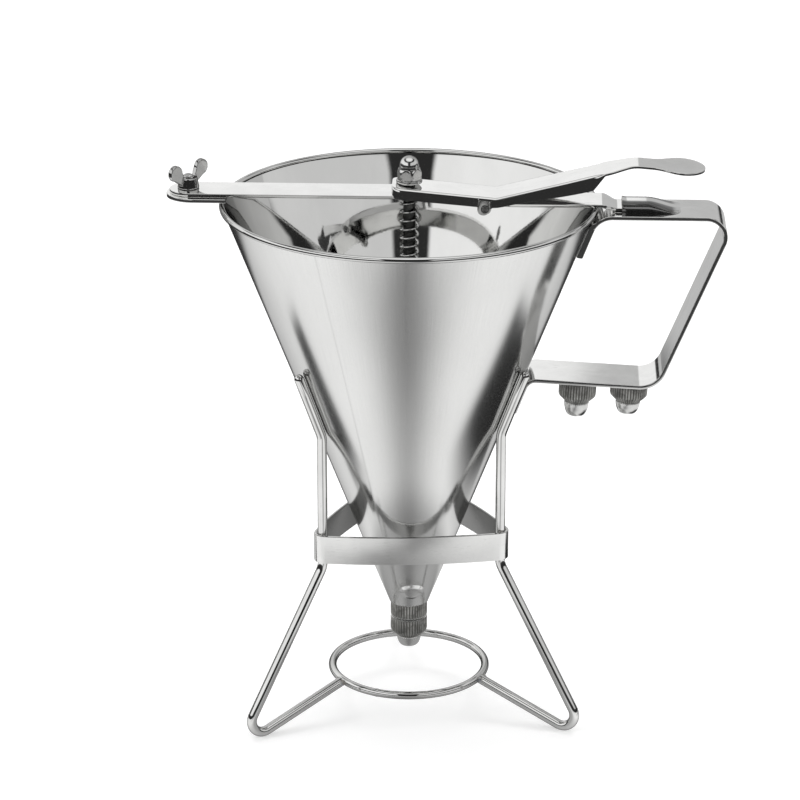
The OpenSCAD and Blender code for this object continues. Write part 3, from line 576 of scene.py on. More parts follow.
class BentLine:
    """A line in the XZ plane with straight runs and round bends, measured along its length."""

    def __init__(self, corners, bends, step):
        self.places = []
        last = len(corners) - 1
        headings = [atan2(corners[i + 1][1] - corners[i][1], corners[i + 1][0] - corners[i][0])
                    for i in range(last)]
        for i, (x, z) in enumerate(corners):
            before = headings[max(i - 1, 0)]
            if self.places:
                heading = self.places[-1][2]
                before = heading - remainder(heading - before, WHOLE_TURN)
            swing = remainder(headings[i] - before, WHOLE_TURN) if 0 < i < last else 0.0
            if abs(swing) < 1e-6:
                self.places.append((x, z, before))
                continue
            r, side = bends[i], copysign(pi / 2, swing)
            cut = r * tan(abs(swing) / 2)
            cx = x - cut * cos(before) + r * cos(before + side)
            cz = z - cut * sin(before) + r * sin(before + side)
            steps = ceil(abs(degrees(swing)) / step)
            for k in range(steps + 1):
                a = before + swing * k / steps
                self.places.append((cx - r * cos(a + side), cz - r * sin(a + side), a))
        self.marks = [0.0]
        for (x0, z0, _), (x1, z1, _) in zip(self.places, self.places[1:]):
            self.marks.append(self.marks[-1] + hypot(x1 - x0, z1 - z0))
        self.length = self.marks[-1]

    def at(self, distance):
        """(x, z, heading) at a distance along the line."""
        distance = min(max(distance, 0.0), self.length)
        k = max(bisect_left(self.marks, distance) - 1, 0)
        gap = self.marks[k + 1] - self.marks[k]
        s = 0.0 if gap < 1e-9 else (distance - self.marks[k]) / gap
        return tuple(p + (q - p) * s for p, q in zip(self.places[k], self.places[k + 1]))

    def near_x(self, x):
        """Distance along the line at which x is first reached, on a line that runs along +X."""
        for k in range(len(self.places) - 1):
            x0, x1 = self.places[k][0], self.places[k + 1][0]
            if x0 <= x <= x1 and x1 > x0:
                return self.marks[k] + (self.marks[k + 1] - self.marks[k]) * (x - x0) / (x1 - x0)
        return 0.0 if x < self.places[0][0] else self.length

    def stops(self, extra=(), every=None):
        """The line's own marks and some more, in order and not too close together."""
        more = [k * every for k in range(1, int(self.length / every))] if every else []
        kept, closest = [], 0.12
        for d in sorted(self.marks + list(extra) + more):
            if 0 <= d <= self.length and (not kept or d - kept[-1] > closest):
                kept.append(d)
        return kept


def section_at(place, outline):
    """Stands an outline of (up from the line, sideways) at a place on a line."""
    x, z, heading = place
    up_x, up_z = cos(heading + pi / 2), sin(heading + pi / 2)
    return [(x + up_x * n, y, z + up_z * n) for n, y in outline]


def plate(thick, width, edge, inset):
    """Outline of a flat plate with round edges."""
    t, w = thick / 2 - inset, width / 2 - inset
    e = max(min(edge, t - 0.01, w - 0.01) - inset * 0.5, 0.01)
    outline = []
    for cn, cy, start in ((t - e, w - e, 90), (t - e, -w + e, 0), (-t + e, -w + e, -90),
                          (-t + e, w - e, -180)):
        outline += [(cn + e * cos(a), cy + e * sin(a)) for a in arc(start, start - 91, -30)]
    return outline


def sheet_strip(line, thick, width_at, edge, extra=(), every=None):
    """Sheet that follows a line, with round edges and softened ends."""
    rings = []
    for d in line.stops([*extra, edge, line.length - edge], every):
        end = min(d, line.length - d)
        inset = edge * (1 - sqrt(max(0.0, 1 - (1 - min(end / edge, 1)) ** 2)))
        rings.append(section_at(line.at(d), plate(thick, max(width_at(d), thick), edge, inset)))
    return skin(rings)


def upright_plate(outline, y, thick, edge=0.25, draft=0.16):
    """Plate in the XZ plane with softened edges, whose outer face leans inwards."""
    cx, cz = (sum(p[i] for p in outline) / len(outline) for i in (0, 1))
    low = min(z for x, z in outline)
    rings = []
    for across, by in ((-thick / 2, edge), (-thick / 2 + edge, 0), (thick / 2 - edge, 0),
                       (thick / 2, edge)):
        lean = copysign(draft, y) if across * y > 0 else 0.0
        ring = []
        for x, z in outline:
            kept = 1 - by / max(hypot(x - cx, z - cz), 0.01)
            x, z = cx + (x - cx) * kept, cz + (z - cz) * kept
            ring.append((x, y + across - lean * (z - low), z))
        rings.append(ring)
    return skin(rings)


def wire(places, radius, side, sides=28):
    """Round wire with a round start, bent in one upright plane, through (point, direction)."""
    rings, side = [], Vector(side)
    start = [(-radius * sin(a), radius * cos(a)) for a in map(radians, (84, 70, 50, 25))]
    for k, (point, direction) in enumerate(places):
        point, direction = Vector(point), Vector(direction).normalized()
        up = side.cross(direction)
        for along, r in (start if k == 0 else []) + [(0.0, radius)]:
            centre = point + direction * along
            rings.append([tuple(centre + (side * cos(a) + up * sin(a)) * r)
                          for a in circle(sides)])
    return skin(rings)


def threaded_rod(x, low, high, radius, pitch=0.8, depth=0.28):
    """Upright threaded rod with pointed ends."""
    rings, per_turn = [], 12
    count = int((high - low) / pitch * per_turn)
    for k in range(count + 1):
        z = low + (high - low) * k / count
        point = min(1.0, 0.8 + min(z - low, high - z) * 0.4)
        ring = []
        for a in circle(24):
            phase = (z / pitch - a / WHOLE_TURN) % 1.0
            r = (radius - depth * (1 - abs(2 * phase - 1))) * point
            ring.append((x + r * cos(a), r * sin(a), z))
        rings.append(ring)
    return skin(rings)


def bead(centre, radii, bumps, seed):
    """Small uneven blob, as of weld."""
    rings = []
    for down in (pi * k / 10 for k in range(1, 10)):
        ring = []
        for a in circle(18):
            r = 1 + bumps * sin(3 * a + seed) * sin(4 * down + seed * 2)
            ring.append(tuple(c + half * r * way for c, half, way in
                              zip(centre, radii, polar(sin(down), a, cos(down)))))
        rings.append(ring)
    return skin(rings)


# ---------------------------------------------------------------- funnel, spout and nozzles

GAP = 0.1  # between pieces that are screwed or welded together


def cone_slope():
    f = sizes("funnel")
    return (f.rim_r - f.bottom_r) / f.height


def cone_radius(z):
    f = sizes("funnel")
    return f.bottom_r + (z - f.base_z) * cone_slope()


def beside_cone(z, off):
    """Distance from the axis of a place that stands off the cone's outside."""
    return cone_radius(z) + off / cos(atan(cone_slope()))


def build_cone():
    """Cone of sheet with a rolled rim and a welded seam up its outside."""
    f, seam_half, rows = sizes("funnel"), 0.9, 24
    rim, sheet_h, seam = f.base_z + f.height, f.height - 1.2, f.seam_turn
    outer = [(cone_radius(z), z) for z in (f.base_z + k / rows * sheet_h
                                           for k in range(rows + 1))]
    roll = [(f.rim_r + f.bead_r * cos(a), rim + f.bead_r * sin(a)) for a in arc(-62, 226, 12)]
    inner = [(beside_cone(z, -f.wall), z) for r, z in reversed(outer)]
    inner[0] = (inner[0][0] + 0.05, inner[0][1])
    profile = outer + roll + inner
    angles = sorted([a for a in circle(240) if abs(remainder(a - seam, WHOLE_TURN)) > 0.02]
                    + [seam + k * 0.0045 for k in range(-4, 5)])
    sections, marks = [], []
    for a in angles:
        off = abs(remainder(a - seam, WHOLE_TURN))
        close = [max(0.0, 1 - off * r / seam_half) for r, z in outer]
        close += [0.0] * (len(profile) - len(outer))
        sections.append([polar(r + f.seam_rise * near, a, z)
                         for (r, z), near in zip(profile, close)])
        marks += close
    made = piece("cone_sheet", wrapped(sections), "funnel", "cone_satin", ["funnel_cone"],
                 values={"seam": marks})
    made.data.materials.append(FINISHES["cone_inside"])
    for face in made.data.polygons:
        if len(outer) <= min(v % len(profile) for v in face.vertices):
            face.material_index = 1


def build_boss():
    """Low oval boss pressed out of the cone's sheet above the spout, with a soft foot."""
    azimuth, z, wide, high, rise = radians(-81.4), 65.4, 6.7, 5.2, 0.85
    foot, sunk, slope, count = 1.12, 0.15, 0.62, 14
    rings = []
    for k in range(count + 1):
        out = foot - 1.1 * k / count
        level = (rise + sunk) * eased((foot - out) / slope) - sunk
        ring = []
        for a in circle(48):
            up = high * out * sin(a) * cos(atan(cone_slope()))
            turned = azimuth + wide * out * cos(a) / cone_radius(z)
            ring.append(polar(beside_cone(z + up, level), turned, z + up))
        rings.append(ring)
    piece("cone_boss", skin(rings), "funnel", "cone_satin", sharp=60)


def knurled_turning(profile, depths, bore):
    """Turned piece with ridges of some depths, and its marks for the finish.

    The profile is (radius, z) from the top rim down the outside, and the bore goes on from it.
    """
    whole = [(r, z, depth) for (r, z), depth in zip(profile, depths)]
    whole += [(r, z, 0.0) for r, z in profile[len(depths):] + bore]
    sections, marks = [], {"groove": [], "rub": [], "plain": []}
    for k, a in enumerate(circle(sizes("spout").ridges * 4)):
        low = (0.0, 0.5, 1.0, 0.5)[k % 4]
        sections.append([polar(r - depth * low, a, z) for r, z, depth in whole])
        for _, _, depth in whole:
            worked = 1.0 if depth else 0.0
            marks["groove"].append(low * worked)
            marks["rub"].append((1 - low) * worked)
            marks["plain"].append(1 - worked)
    return *wrapped(sections), marks


def nozzle_shape(outlet_r, straight, nose):
    """Nozzle with its top rim at z = 0, hanging down."""
    s, steps, socket, chamfer = sizes("spout"), 6, 9.0, 0.3
    r, shallow, neck, low = s.outer_r, s.ridge * 0.6, s.neck_r, -straight - s.taper_h
    profile = [(r - 1.1, 0), (r - 0.35, -0.25), (r, -0.9), (r, -3), (r, 0.8 - straight),
               (r - 0.25, -straight - 0.1)]
    profile += [(r - 0.25 + (neck + 0.25 - r) * t ** 1.12, -straight - s.taper_h * t)
                for t in (k / steps for k in range(1, steps + 1))]
    depths = [0.0, 0.0, shallow] + [s.ridge] * (len(profile) - 4) + [shallow]
    profile += [(s.tip_r + (neck - 0.05 - s.tip_r) * cos(a), low - 0.1 - (nose - 0.1) * sin(a))
                for a in arc(3, 91, 8)]
    profile.append((outlet_r + 0.25, low - nose))
    bore = [(outlet_r, low - nose + chamfer), (outlet_r, -socket),
            (s.thread_r - chamfer, -socket), (s.thread_r, chamfer - socket),
            (s.thread_r, -0.4), (s.thread_r + chamfer, 0)]
    return knurled_turning(profile, depths, bore)


def build_nozzles():
    """Knurled collar, the fitted nozzle and the two spare nozzles."""
    s, f, h = map(sizes, ("spout", "funnel", "handle"))
    top, r, high = f.base_z - GAP, s.outer_r, s.collar_h
    profile = [(r - 1.0, 0), (r - 0.3, -0.25), (r, -0.8), (r, -high / 2), (r, 0.8 - high),
               (r - 0.3, 0.25 - high), (r - 1.0, -high)]
    bore = [(s.thread_r + 0.2, -high), (s.thread_r, 0.3 - high), (s.thread_r, -0.3),
            (s.thread_r + 0.2, 0)]
    hanging = [
        ("knurled_collar", "spout_collar", "funnel", top,
         knurled_turning(profile, [0.0, 0.0] + [s.ridge] * 3, bore)),
        ("nozzle_on_spout", "nozzle_fitted", "fitted_nozzle", top - high - GAP,
         nozzle_shape(2.5, s.straight_h, s.nose_h))]
    for name, node, body, rim, (points, faces, marks) in hanging:
        piece(name, ([(x, y, z + rim) for x, y, z in points], faces), body, "knurled_dull",
              [node], values=marks)
    down, tilted_x, tilted_z = h.sheet / 2 + GAP, cos(h.slope), sin(h.slope)
    heel_x = beside_cone(h.low_z, down)
    for name, node, body, along, (points, faces, marks) in (
            ("nozzle_spare_near", "spare_nozzle_inner", "inner_spare", 25.5,
             nozzle_shape(1.5, s.inner_straight_h, s.inner_nose_h)),
            ("nozzle_spare_far", "spare_nozzle_outer", "outer_spare", 51.5,
             nozzle_shape(2.0, s.straight_h, s.outer_nose_h))):
        placed = [(heel_x + (along + x) * tilted_x + (z - down) * tilted_z, y,
                   h.low_z - (along + x) * tilted_z + (z - down) * tilted_x)
                  for x, y, z in points]
        piece(name, (placed, faces), body, "knurled_dull", [node], values=marks)


# ---------------------------------------------------------------- handle, clip, bar and lug

def handle_line():
    """Middle of the strip: welded end, top run, grip, lower run and welded end."""
    h, tilt = sizes("handle"), atan(cone_slope())
    off, root_bend, top_bend, low_bend, heel_bend = h.sheet / 2 + GAP, 11, 9.5, 13, 6
    root, heel = ((beside_cone(z, off), z) for z in (h.top_z, h.low_z))
    slope, lean = tan(h.slope), tan(h.lean)
    knuckle_z = (h.low_z - slope * (h.reach - h.top_z * lean - heel[0])) / (1 + slope * lean)
    knuckle = (h.reach - (h.top_z - knuckle_z) * lean, knuckle_z)
    ends = []
    for (x, z), bend in ((root, root_bend), (heel, heel_bend)):
        back = bend * tan((pi / 2 - tilt) / 2) + h.end_l
        ends.append((x - sin(tilt) * back, z - cos(tilt) * back))
    return BentLine([ends[0], root, (h.reach, h.top_z), knuckle, heel, ends[1]],
                    [0, root_bend, top_bend, low_bend, heel_bend, 0], step=4.0)


def build_handle():
    """Strip handle, with its ends hugging the cone, and the weld marks."""
    h, line, near, beside, hug = sizes("handle"), handle_line(), 3.22, 3.6, 0.98
    points, faces = sheet_strip(line, h.sheet, lambda d: h.width, h.edge, every=4.0)
    upper, lower, end_l, hugging = line.at(0)[1], line.at(line.length)[1], h.end_l + 3, []
    for x, y, z in points:
        welded = upper < z < upper + end_l or lower - 1 < z < lower + end_l
        if welded and hypot(x, y) < cone_radius(z) + near and x < cone_radius(z) + beside:
            x -= (x - sqrt(max(x * x - y * y, 0.0))) * hug
        hugging.append((x, y, z))
    piece("handle_sheet", (hugging, faces), "funnel", "bright_handle", ["handle_strip"],
          flat=True)
    spots, aside, proud, spot_r = [], 9.0, 0.95, 1.9
    first, second = h.end_l * 0.35, h.end_l * 0.8
    for distance in (first, second, line.length - first, line.length - second):
        x, z, _ = line.at(distance)
        for y in (-aside, aside):
            out = sqrt(max((x + proud) ** 2 - y * y, 0.0))
            spots.append(bead((out, y, z), (0.35, spot_r, spot_r), 0.08, distance))
    piece("handle_weld_spots", merged(spots), "funnel", "bright_handle")


def build_clip():
    """Arched sheet hood with dull flanks that holds the bar's tongue down on the handle."""
    h, start, length, half, t, corner_r = sizes("handle"), 106.0, 29.0, 10.0, 1.1, 5
    base, room, flare_out, fullness = h.top_z + h.sheet / 2, 3.4, 0.35, 0.75
    rings, painted_shades, rows, across = [], [], 48, 28
    for u in (k / rows for k in range(rows + 1)):
        rise = room * (1 - eased((u - 0.42) / 0.56)) + 0.1
        past = max(0.0, u * length - (length - corner_r))
        narrow = corner_r - sqrt(max(corner_r ** 2 - past ** 2, 0.6)) if past > 0 else 0.0
        flare = flare_out * max(0.0, 1 - u * 12) ** 2
        x, w = start + u * length, half - narrow + flare
        outer, inner, row = [], [], []
        for a in (pi * i / across for i in range(across + 1)):
            aside = copysign(abs(cos(a)) ** fullness, cos(a))
            up = max(sin(a), 0) ** fullness
            outer.append((x, w * aside, base + (rise + t + flare) * up))
            inner.append((x, (w - t) * aside, base + (rise + flare) * up))
            # painted shade: the flanks, away from the crown and where the hood stands high, are
            # marked to be darkened
            row.append(eased((abs(aside) - 0.2) / 0.16) * eased(rise / 0.6))
        painted_shades += row + row[::-1]
        rings.append(outer + inner[::-1])
    made = piece("clip_hood", skin(rings), "funnel", "bright_sheet", ["bar_clip"], sharp=50,
                 values={"dull": painted_shades})
    soften = made.modifiers.new("edges", "BEVEL")
    soften.width, soften.segments, soften.limit_method = 0.18 * MM, 2, "ANGLE"
    soften.angle_limit = radians(50)
    flatten(made)


def bar_line():
    """Middle of the bar: high run, slope, low run, drop and tongue."""
    b, slope_bend, drop_bend, over_handle = sizes("bar"), 14, 4, 1.2
    seat = sizes("handle").top_z + over_handle + b.sheet / 2
    return BentLine([(b.left_x, b.high_z), (8, b.high_z), (50, b.low_z), (96.6, b.low_z),
                     (103, seat), (b.right_x, seat)],
                    [0, slope_bend, slope_bend, drop_bend, drop_bend, 0], step=2.0)


EAR_R = 3.2  # round the pivot pin, on the bar and on the lever


def build_bar():
    """Cross bar with its round end, side walls and pivot ears."""
    b, line, edge, corner_r, wall_t, inset = sizes("bar"), bar_line(), 0.4, 3, 1.7, 0.9
    half, tongue, shoulder, taper = b.width / 2, b.tongue_w / 2, line.near_x(97.5), 6.0

    def width_at(d):
        if d < half:
            return 2 * rounded_end(d, half, half)
        if line.length - d < corner_r:
            return 2 * rounded_end(line.length - d, corner_r, tongue)
        return b.width + (b.tongue_w - b.width) * eased((d - shoulder) / taper)

    marks = round_marks(half, 6) + [line.length - d for d in round_marks(corner_r, 15)]
    marks += [shoulder + taper * k / 8 for k in range(9)]
    parts = [sheet_strip(line, b.sheet, width_at, edge, marks)]
    top = b.low_z + b.sheet / 2
    wall = [(54, b.low_z), (57, top + 1.8), (66, top + 2.6), (76, top + 1.5),
            (87, top - 0.05), (87, b.low_z)]
    ear = [(b.pivot_x + EAR_R * x, b.pivot_z + EAR_R * z) for x, z in
           [polar(1, a)[:2] for a in arc(-180, 1, 15)] + [(1, 1), (-1, 1)]]
    for y in (inset - half, half - inset):
        parts += [upright_plate(wall, y, wall_t), upright_plate(ear, y, wall_t, draft=0.0)]
    piece("bar_sheet", merged(parts), "funnel", "bright_sheet", ["cross_bar"], sharp=28,
          flat=True)


def build_lug():
    """Lug under the bar's round end, with its web on the rim."""
    rim_r, left, right, z, thick, edge = sizes("funnel").rim_r, -121.5, -84, 274.9, 2.0, 0.45
    half, web_half, web_t, steps = 14.5, 13.5, 1.8, 12
    marks = round_marks(half, 5) + [k * 3.0 for k in range(5, 13)]
    points, faces = sheet_strip(BentLine([(left, z), (right, z)], [0, 0], step=5.0), thick,
                                lambda d: 2 * rounded_end(d, half, half), edge, marks)
    hugging = [(min(x, -sqrt((rim_r - 1.5) ** 2 - y * y)) if x > -96 else x, y, height)
               for x, y, height in points]
    span, low, high = asin(web_half / rim_r), z - 3, z - 0.5
    near, far = rim_r - web_t / 2, rim_r + web_t / 2
    web = [[polar(r, pi - span + 2 * span * k / steps, height)
            for r, height in ((near, low), (far, low), (far, high), (near, high))]
           for k in range(steps + 1)]
    piece("lug_sheet", merged([(hugging, faces), skin(web)]), "funnel", "bright_sheet",
          ["stud_lug"], flat=True)


def build_clamp():
    """Clamp stud and the cast wing nut on it."""
    stud_x, foot, top, radius = -110.5, 273.95, 284.65, 2.5
    piece("clamp_thread", threaded_rod(stud_x, foot, top, radius), "funnel",
          "bright_fastener", ["clamp_stud"], sharp=60)
    made = linked("wing_nut_cast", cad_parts["wing_nut"].data.copy())
    cast = made.modifiers.new("cast", "REMESH")
    cast.mode, cast.voxel_size, cast.use_smooth_shade = "VOXEL", 0.28 * MM, True
    smooth = made.modifiers.new("tumbled", "SMOOTH")
    smooth.factor, smooth.iterations = 0.5, 7
    settle(made)
    fitted(made, "wing_nut", "cast_nut", ["wing_nut"])


# ---------------------------------------------------------------- lever, pin and valve

LEVER_LEFT, LEVER_CORNER = -8.5, 5
REST_X, REST_L = 135.5, 11.5
WALL_DEPTHS = [(LEVER_LEFT, 3.4), (-6.2, 5.2), (40, 5.0), (43.5, 4.6), (47, 4.7), (90, 7.0)]


def lever_line():
    """Middle of the lever's top, with its heights over the middle of the rim."""
    f, high, (dip_x, dip) = sizes("funnel"), 10.1, (43.5, 6.1)
    rim, left = f.base_z + f.height, high - LEVER_LEFT * (high - dip) / dip_x
    return BentLine([(LEVER_LEFT, rim + left), (dip_x, rim + dip), (111.5, rim + 23),
                     (147, rim + 20.2)], [0, 8, 22, 0], step=2.0)


def lever_section(x, w, k, t, fold_r):
    """Outline of the folded sheet, w to each side, with walls k deep."""
    fold = min(fold_r, max(k - 0.3, 0.45), w * 0.9)
    fold = 0.45 + (fold - 0.45) * min(max((k - t) / 2.5, 0.0), 1.0)
    inner = max(fold - t, 0.02)
    dish = 0.55 * eased((x - 118) / 14) * eased((147.5 - x) / 9)
    top_w = w - min(0.16 * max(k - t, 0.0), 0.7)
    half = [(-k + 0.06, w), (-min(fold, k - 0.2), top_w)]
    half += [(-fold + fold * sin(a), top_w - fold + fold * cos(a)) for a in arc(15, 90, 15)]
    half += [(-dish * 0.15, (top_w - fold) * 0.98), (-dish * 0.6, w * 0.55),
             (-dish * 0.9, w * 0.25)]
    if k <= t + 0.4:
        under = [(-t, max(w - 0.06 - 0.3 * i, 0.0)) for i in range(7)]
    else:
        under = [(-k, w - 0.06), (-k, w - t + 0.15), (-max(k - 0.15, t), w - t)]
        under += [(-t - inner + inner * sin(a), w - t - inner + inner * cos(a))
                  for a in arc(0, 91, 30)]
    under += [(-t - dish * 0.6, w * 0.5), (-t - dish * 0.9, w * 0.25)]
    over = half + [(-dish, 0.0)] + [(n, -y) for n, y in reversed(half)]
    return over + [(n, -y) for n, y in under] + [(-t - dish, 0.0)] + under[::-1]


def build_lever():
    """Lever of folded sheet: side walls with lobes for the pin, and a flat thumb rest."""
    v, b, line = sizes("lever"), sizes("bar"), lever_line()
    t, full, rest, px = v.sheet, v.width / 2, v.rest_w / 2, b.pivot_x
    (wall_end, wall_h), run_out = WALL_DEPTHS[-1], 7
    sides = [(72, full), (97, full - 0.9), (112, v.neck_w / 2), (121, v.neck_w / 2),
             (REST_X, rest)]

    def half_width(x):
        if x > REST_X:
            return rest * sqrt(max(1 - ((x - REST_X) / REST_L) ** 2, 0.0008))
        return rounded_end(x - LEVER_LEFT, LEVER_CORNER, table_value(sides, x))

    def wall_depth(x, top):
        depth = table_value(WALL_DEPTHS, x)
        if x > wall_end:
            depth = wall_h + (t - wall_h) * (x - wall_end) / run_out
        if abs(x - px) < EAR_R:
            depth = max(depth, top - b.pivot_z + sqrt(EAR_R ** 2 - (x - px) ** 2))
        return max(depth, t)

    marked = [LEVER_LEFT + d for d in round_marks(LEVER_CORNER, 10)]
    marked += [px + EAR_R * sin(a) for a in arc(-90, 91, 9)]
    marked += [px - EAR_R - 0.1, px + EAR_R + 0.1, wall_end, wall_end + run_out]
    marked += [REST_X + REST_L * sin(a) for a in arc(0, 86, 5)]
    rings = []
    for d in line.stops(map(line.near_x, marked), every=2.0):
        x, z, heading = line.at(d)
        outline = lever_section(x, max(half_width(x), t * 0.5), wall_depth(x, z), t, v.fold_r)
        rings.append(section_at((x, z, heading), outline))
    piece("lever_sheet", skin(rings), "lever", "bright_sheet", ["lever"], sharp=40, flat=True)


def build_pin():
    """Pivot pin with domed, staked ends."""
    b, half = sizes("bar"), 12.1
    r = b.pin_r
    head = [(0.0, r), (0.0, r + 0.55), (0.3, r + 0.5), (0.6, r + 0.2), (0.75, r - 0.4),
            (0.55, r - 0.8), (0.5, 0.3)]
    rings = [[(b.pivot_x + wide * cos(a), side * (half + out), b.pivot_z + wide * sin(a))
              for a in circle(32)] for side in (-1, 1) for out, wide in head[::side]]
    # the rivet gets the rod's steel, darkened with painted shade
    piece("pivot_rivet", skin(rings), "funnel", "rod_steel", ["pivot_pin"],
          sharp=45)


def build_acorn():
    """Acorn nut with a chamfered hexagon and a dome, and the washer under it."""
    v, thick, top, spin, uncut = sizes("valve"), 1.8, 5.5, 0.3, 9.0
    low, flat, around = v.washer_z + thick, v.across / 2, circle(72)
    dome = flat - 0.55
    hexagon = [(0.0, flat + 0.12), (0.35, flat + 0.62), (0.8, uncut), (top - 1.3, uncut),
               (top - 0.7, flat + 0.45), (top, flat - 0.05)]
    rings = [[polar(min(flat / cos(remainder(a, pi / 3)), limit), a + spin, low + z)
              for a in around] for z, limit in hexagon]
    profile = [(dome + 0.1, top + 0.02), (dome, top + 0.35)]
    profile += [(dome * cos(a), v.nut_h - dome + dome * sin(a)) for a in arc(0, 88, 8)]
    rings += [[polar(r, a + spin, low + z) for a in around] for r, z in profile]
    piece("acorn_turned", skin(rings), "valve", "bright_fastener", ["acorn_nut"], sharp=26)
    profile = [(3.1, 0.15), (3.25, 0), (6.1, 0), (6.45, 0.3), (6.5, 0.6), (6.5, 1.2),
               (6.4, 1.55), (6.05, 1.78), (3.25, thick), (3.1, thick - 0.15)]
    washer = wrapped([[polar(r, a, v.washer_z + z) for r, z in profile] for a in around])
    piece("washer_turned", washer, "valve", "bright_fastener", ["nut_washer"], sharp=40)


def build_spring():
    """Coiled return spring that shortens as the rod rises."""
    v, total, closed, per_turn, sides, stroke = sizes("valve"), 10, 1.0, 28, 12, 6
    wire_r, h, lead = v.wire / 2, v.spring_l - v.wire, v.wire * 1.04
    r, low = v.spring_r - wire_r, v.spring_top - v.spring_l + wire_r
    open_lead = (h - 2 * closed * lead) / (total - 2 * closed)
    rings = []
    for turns in (k / per_turn for k in range(total * per_turn + 1)):
        if turns < closed:
            z = turns * lead
        elif turns > total - closed:
            z = h - (total - turns) * lead
        else:
            z = closed * lead + (turns - closed) * open_lead
        ground = 0.55 + 0.45 * min(1.0, 2.5 * turns, 2.5 * (total - turns))
        rings.append([polar(r + wire_r * cos(b), WHOLE_TURN * turns,
                            low + z + wire_r * ground * sin(b)) for b in circle(sides)])
    made = piece("spring_coil", skin(rings), "funnel", "spring_wire", ["return_spring"],
                 sharp=60)
    v.spring_top * MM
    (v.spring_l - stroke) / v.spring_l
    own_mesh(made)


# ---------------------------------------------------------------- stand

LEGS = (("left", "leg_front_left", 210), ("right", "leg_front_right", -30),
        ("back", "leg_back", 90))


def leg_line():
    """Middle of a leg's wire, from its top beside the cone round the foot to the ring."""
    s, f, bend, knee_bend = sizes("stand"), sizes("funnel"), 7.0, 12
    off = s.wire_r + 0.3
    seat_z = f.base_z + (s.leg_r - beside_cone(f.base_z, off)) / cone_slope()
    knee = (s.leg_r, s.band_z - 12 * tan(radians(15)))
    foot = (s.foot_r - bend, bend + s.wire_r)
    end = (s.ring_r + s.ring_wire_r - 0.3, s.ring_z)

    def touching(point, side):
        dx, dz = foot[0] - point[0], foot[1] - point[1]
        return atan2(dz, dx) + side * asin(bend / hypot(dx, dz))

    a, b = touching(knee, 1), touching(end, -1)
    dx, dz = end[0] - knee[0], end[1] - knee[1]
    reach = (dx * sin(b) - dz * cos(b)) / (cos(a) * sin(b) - sin(a) * cos(b))
    corner = (knee[0] + reach * cos(a), knee[1] + reach * sin(a))
    return BentLine([(beside_cone(s.top_z, off), s.top_z), (s.leg_r, seat_z), knee, corner,
                     end], [0, knee_bend, knee_bend, bend, 0], step=6.0)


def build_legs():
    """Three bent wire legs, each with its weld to the ring and to the band."""
    s, line = sizes("stand"), leg_line()
    for name, node, azimuth in LEGS:
        spin = radians(azimuth) + s.turned
        places = [(round_z((x, 0, z), spin), round_z((cos(heading), 0, sin(heading)), spin))
                  for x, z, heading in map(line.at, line.stops(every=12.0))]
        piece("leg_wire_" + name, wire(places, s.wire_r, (-sin(spin), cos(spin), 0)), "stand",
              "stand_wire", [node], sharp=50)
        blobs = [bead((s.ring_r + s.ring_wire_r + 0.5, y, s.ring_z + 0.1), (1.7, 1.3, 1.8),
                      0.14, y + azimuth) for y in (-1.9, 0.0, 1.9)]
        blobs += [bead((s.leg_r + 1.3, y, z), (1.2, 1.1, 0.9), 0.12, z + y)
                  for z in (s.band_z + 0.4, s.band_z + s.band_h - 0.4) for y in (-2.1, 2.1)]
        points, faces = merged(blobs)
        piece("leg_welds_" + name, ([round_z(p, spin) for p in points], faces), "stand",
              "weld_bead")


def build_ring():
    """Base ring of wire with its butt weld."""
    s, joint, weld_half, swell = sizes("stand"), radians(248), 1.1, 0.07
    rings = []
    for a in circle(180):
        off = remainder(a - joint, WHOLE_TURN) * s.ring_r / weld_half
        w = s.ring_wire_r * (1 + swell * exp(-off ** 2))
        rings.append([polar(s.ring_r + w * cos(b), a, s.ring_z + w * sin(b))
                      for b in circle(24)])
    piece("ring_wire", skin(rings, joined=True), "stand", "stand_wire", ["stand_ring"])


def build_band():
    """Band round the legs: rounded corners, slightly bowed sides, soft edges, a dull inside."""
    s, corner_r, e, third = sizes("stand"), 5.0, 0.35, radians(60)
    t, low, high = s.band_t, s.band_z, s.band_z + s.band_h
    centre, reach = s.leg_r + s.wire_r + 0.05 - corner_r, s.band_side - corner_r
    back = (centre ** 2 - reach ** 2) / (2 * reach - centre)
    half = atan2(centre * sin(third), centre * 0.5 + back)
    section = [(0, low + e), (e * 0.3, low + e * 0.3), (e, low), (t - e, low),
               (t - e * 0.3, low + e * 0.3), (t, low + e), (t, high - e),
               (t - e * 0.3, high - e * 0.3), (t - e, high), (e, high),
               (e * 0.3, high - e * 0.3), (0, high - e)]
    rings, painted_shades = [], []
    # painted shade on the inner faces: an amount for each corner and for the side after it
    for azimuth, corner_shade, side_shade in ((-30, 0.4, 0.85), (90, 0.85, 0.85),
                                              (210, 0.4, 0.1)):
        leg = radians(azimuth)
        for offset, heading, r, spread, count, shade in (
                (centre, leg, corner_r, third - half, 14, corner_shade),
                (-back, leg + third, s.band_side + back, half, 16, side_shade)):
            cx, cy, _ = polar(offset, heading)
            for a in (heading - spread + 2 * spread * k / count for k in range(count)):
                ring = [polar(r + deep, a, z) for deep, z in section]
                rings.append([round_z((cx + x, cy + y, z), s.turned) for x, y, z in ring])
                painted_shades += [shade if deep < t / 2 else 0.0 for deep, z in section]
    piece("band_sheet", skin(rings, joined=True), "stand", "stand_sheet", ["stand_band"],
          values={"dull": painted_shades}, flat=True)


def dress_kept_nodes():
    """Gives every node that is still shown its finish."""
    for name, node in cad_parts.items():
        if not node.hide_render:
            # the valve rod gets steel darkened with painted shade
            finish = "rod_steel" if name == "valve_rod" else "turned_steel"
            node.data.materials.clear()
            node.data.materials.append(FINISHES[finish])


# ---------------------------------------------------------------- stage

TENT_R, FLOOR_R, FLOOR_LIFT = 2.4, 2.39, 0.0008
WHITE = (1, 1, 1, 1)


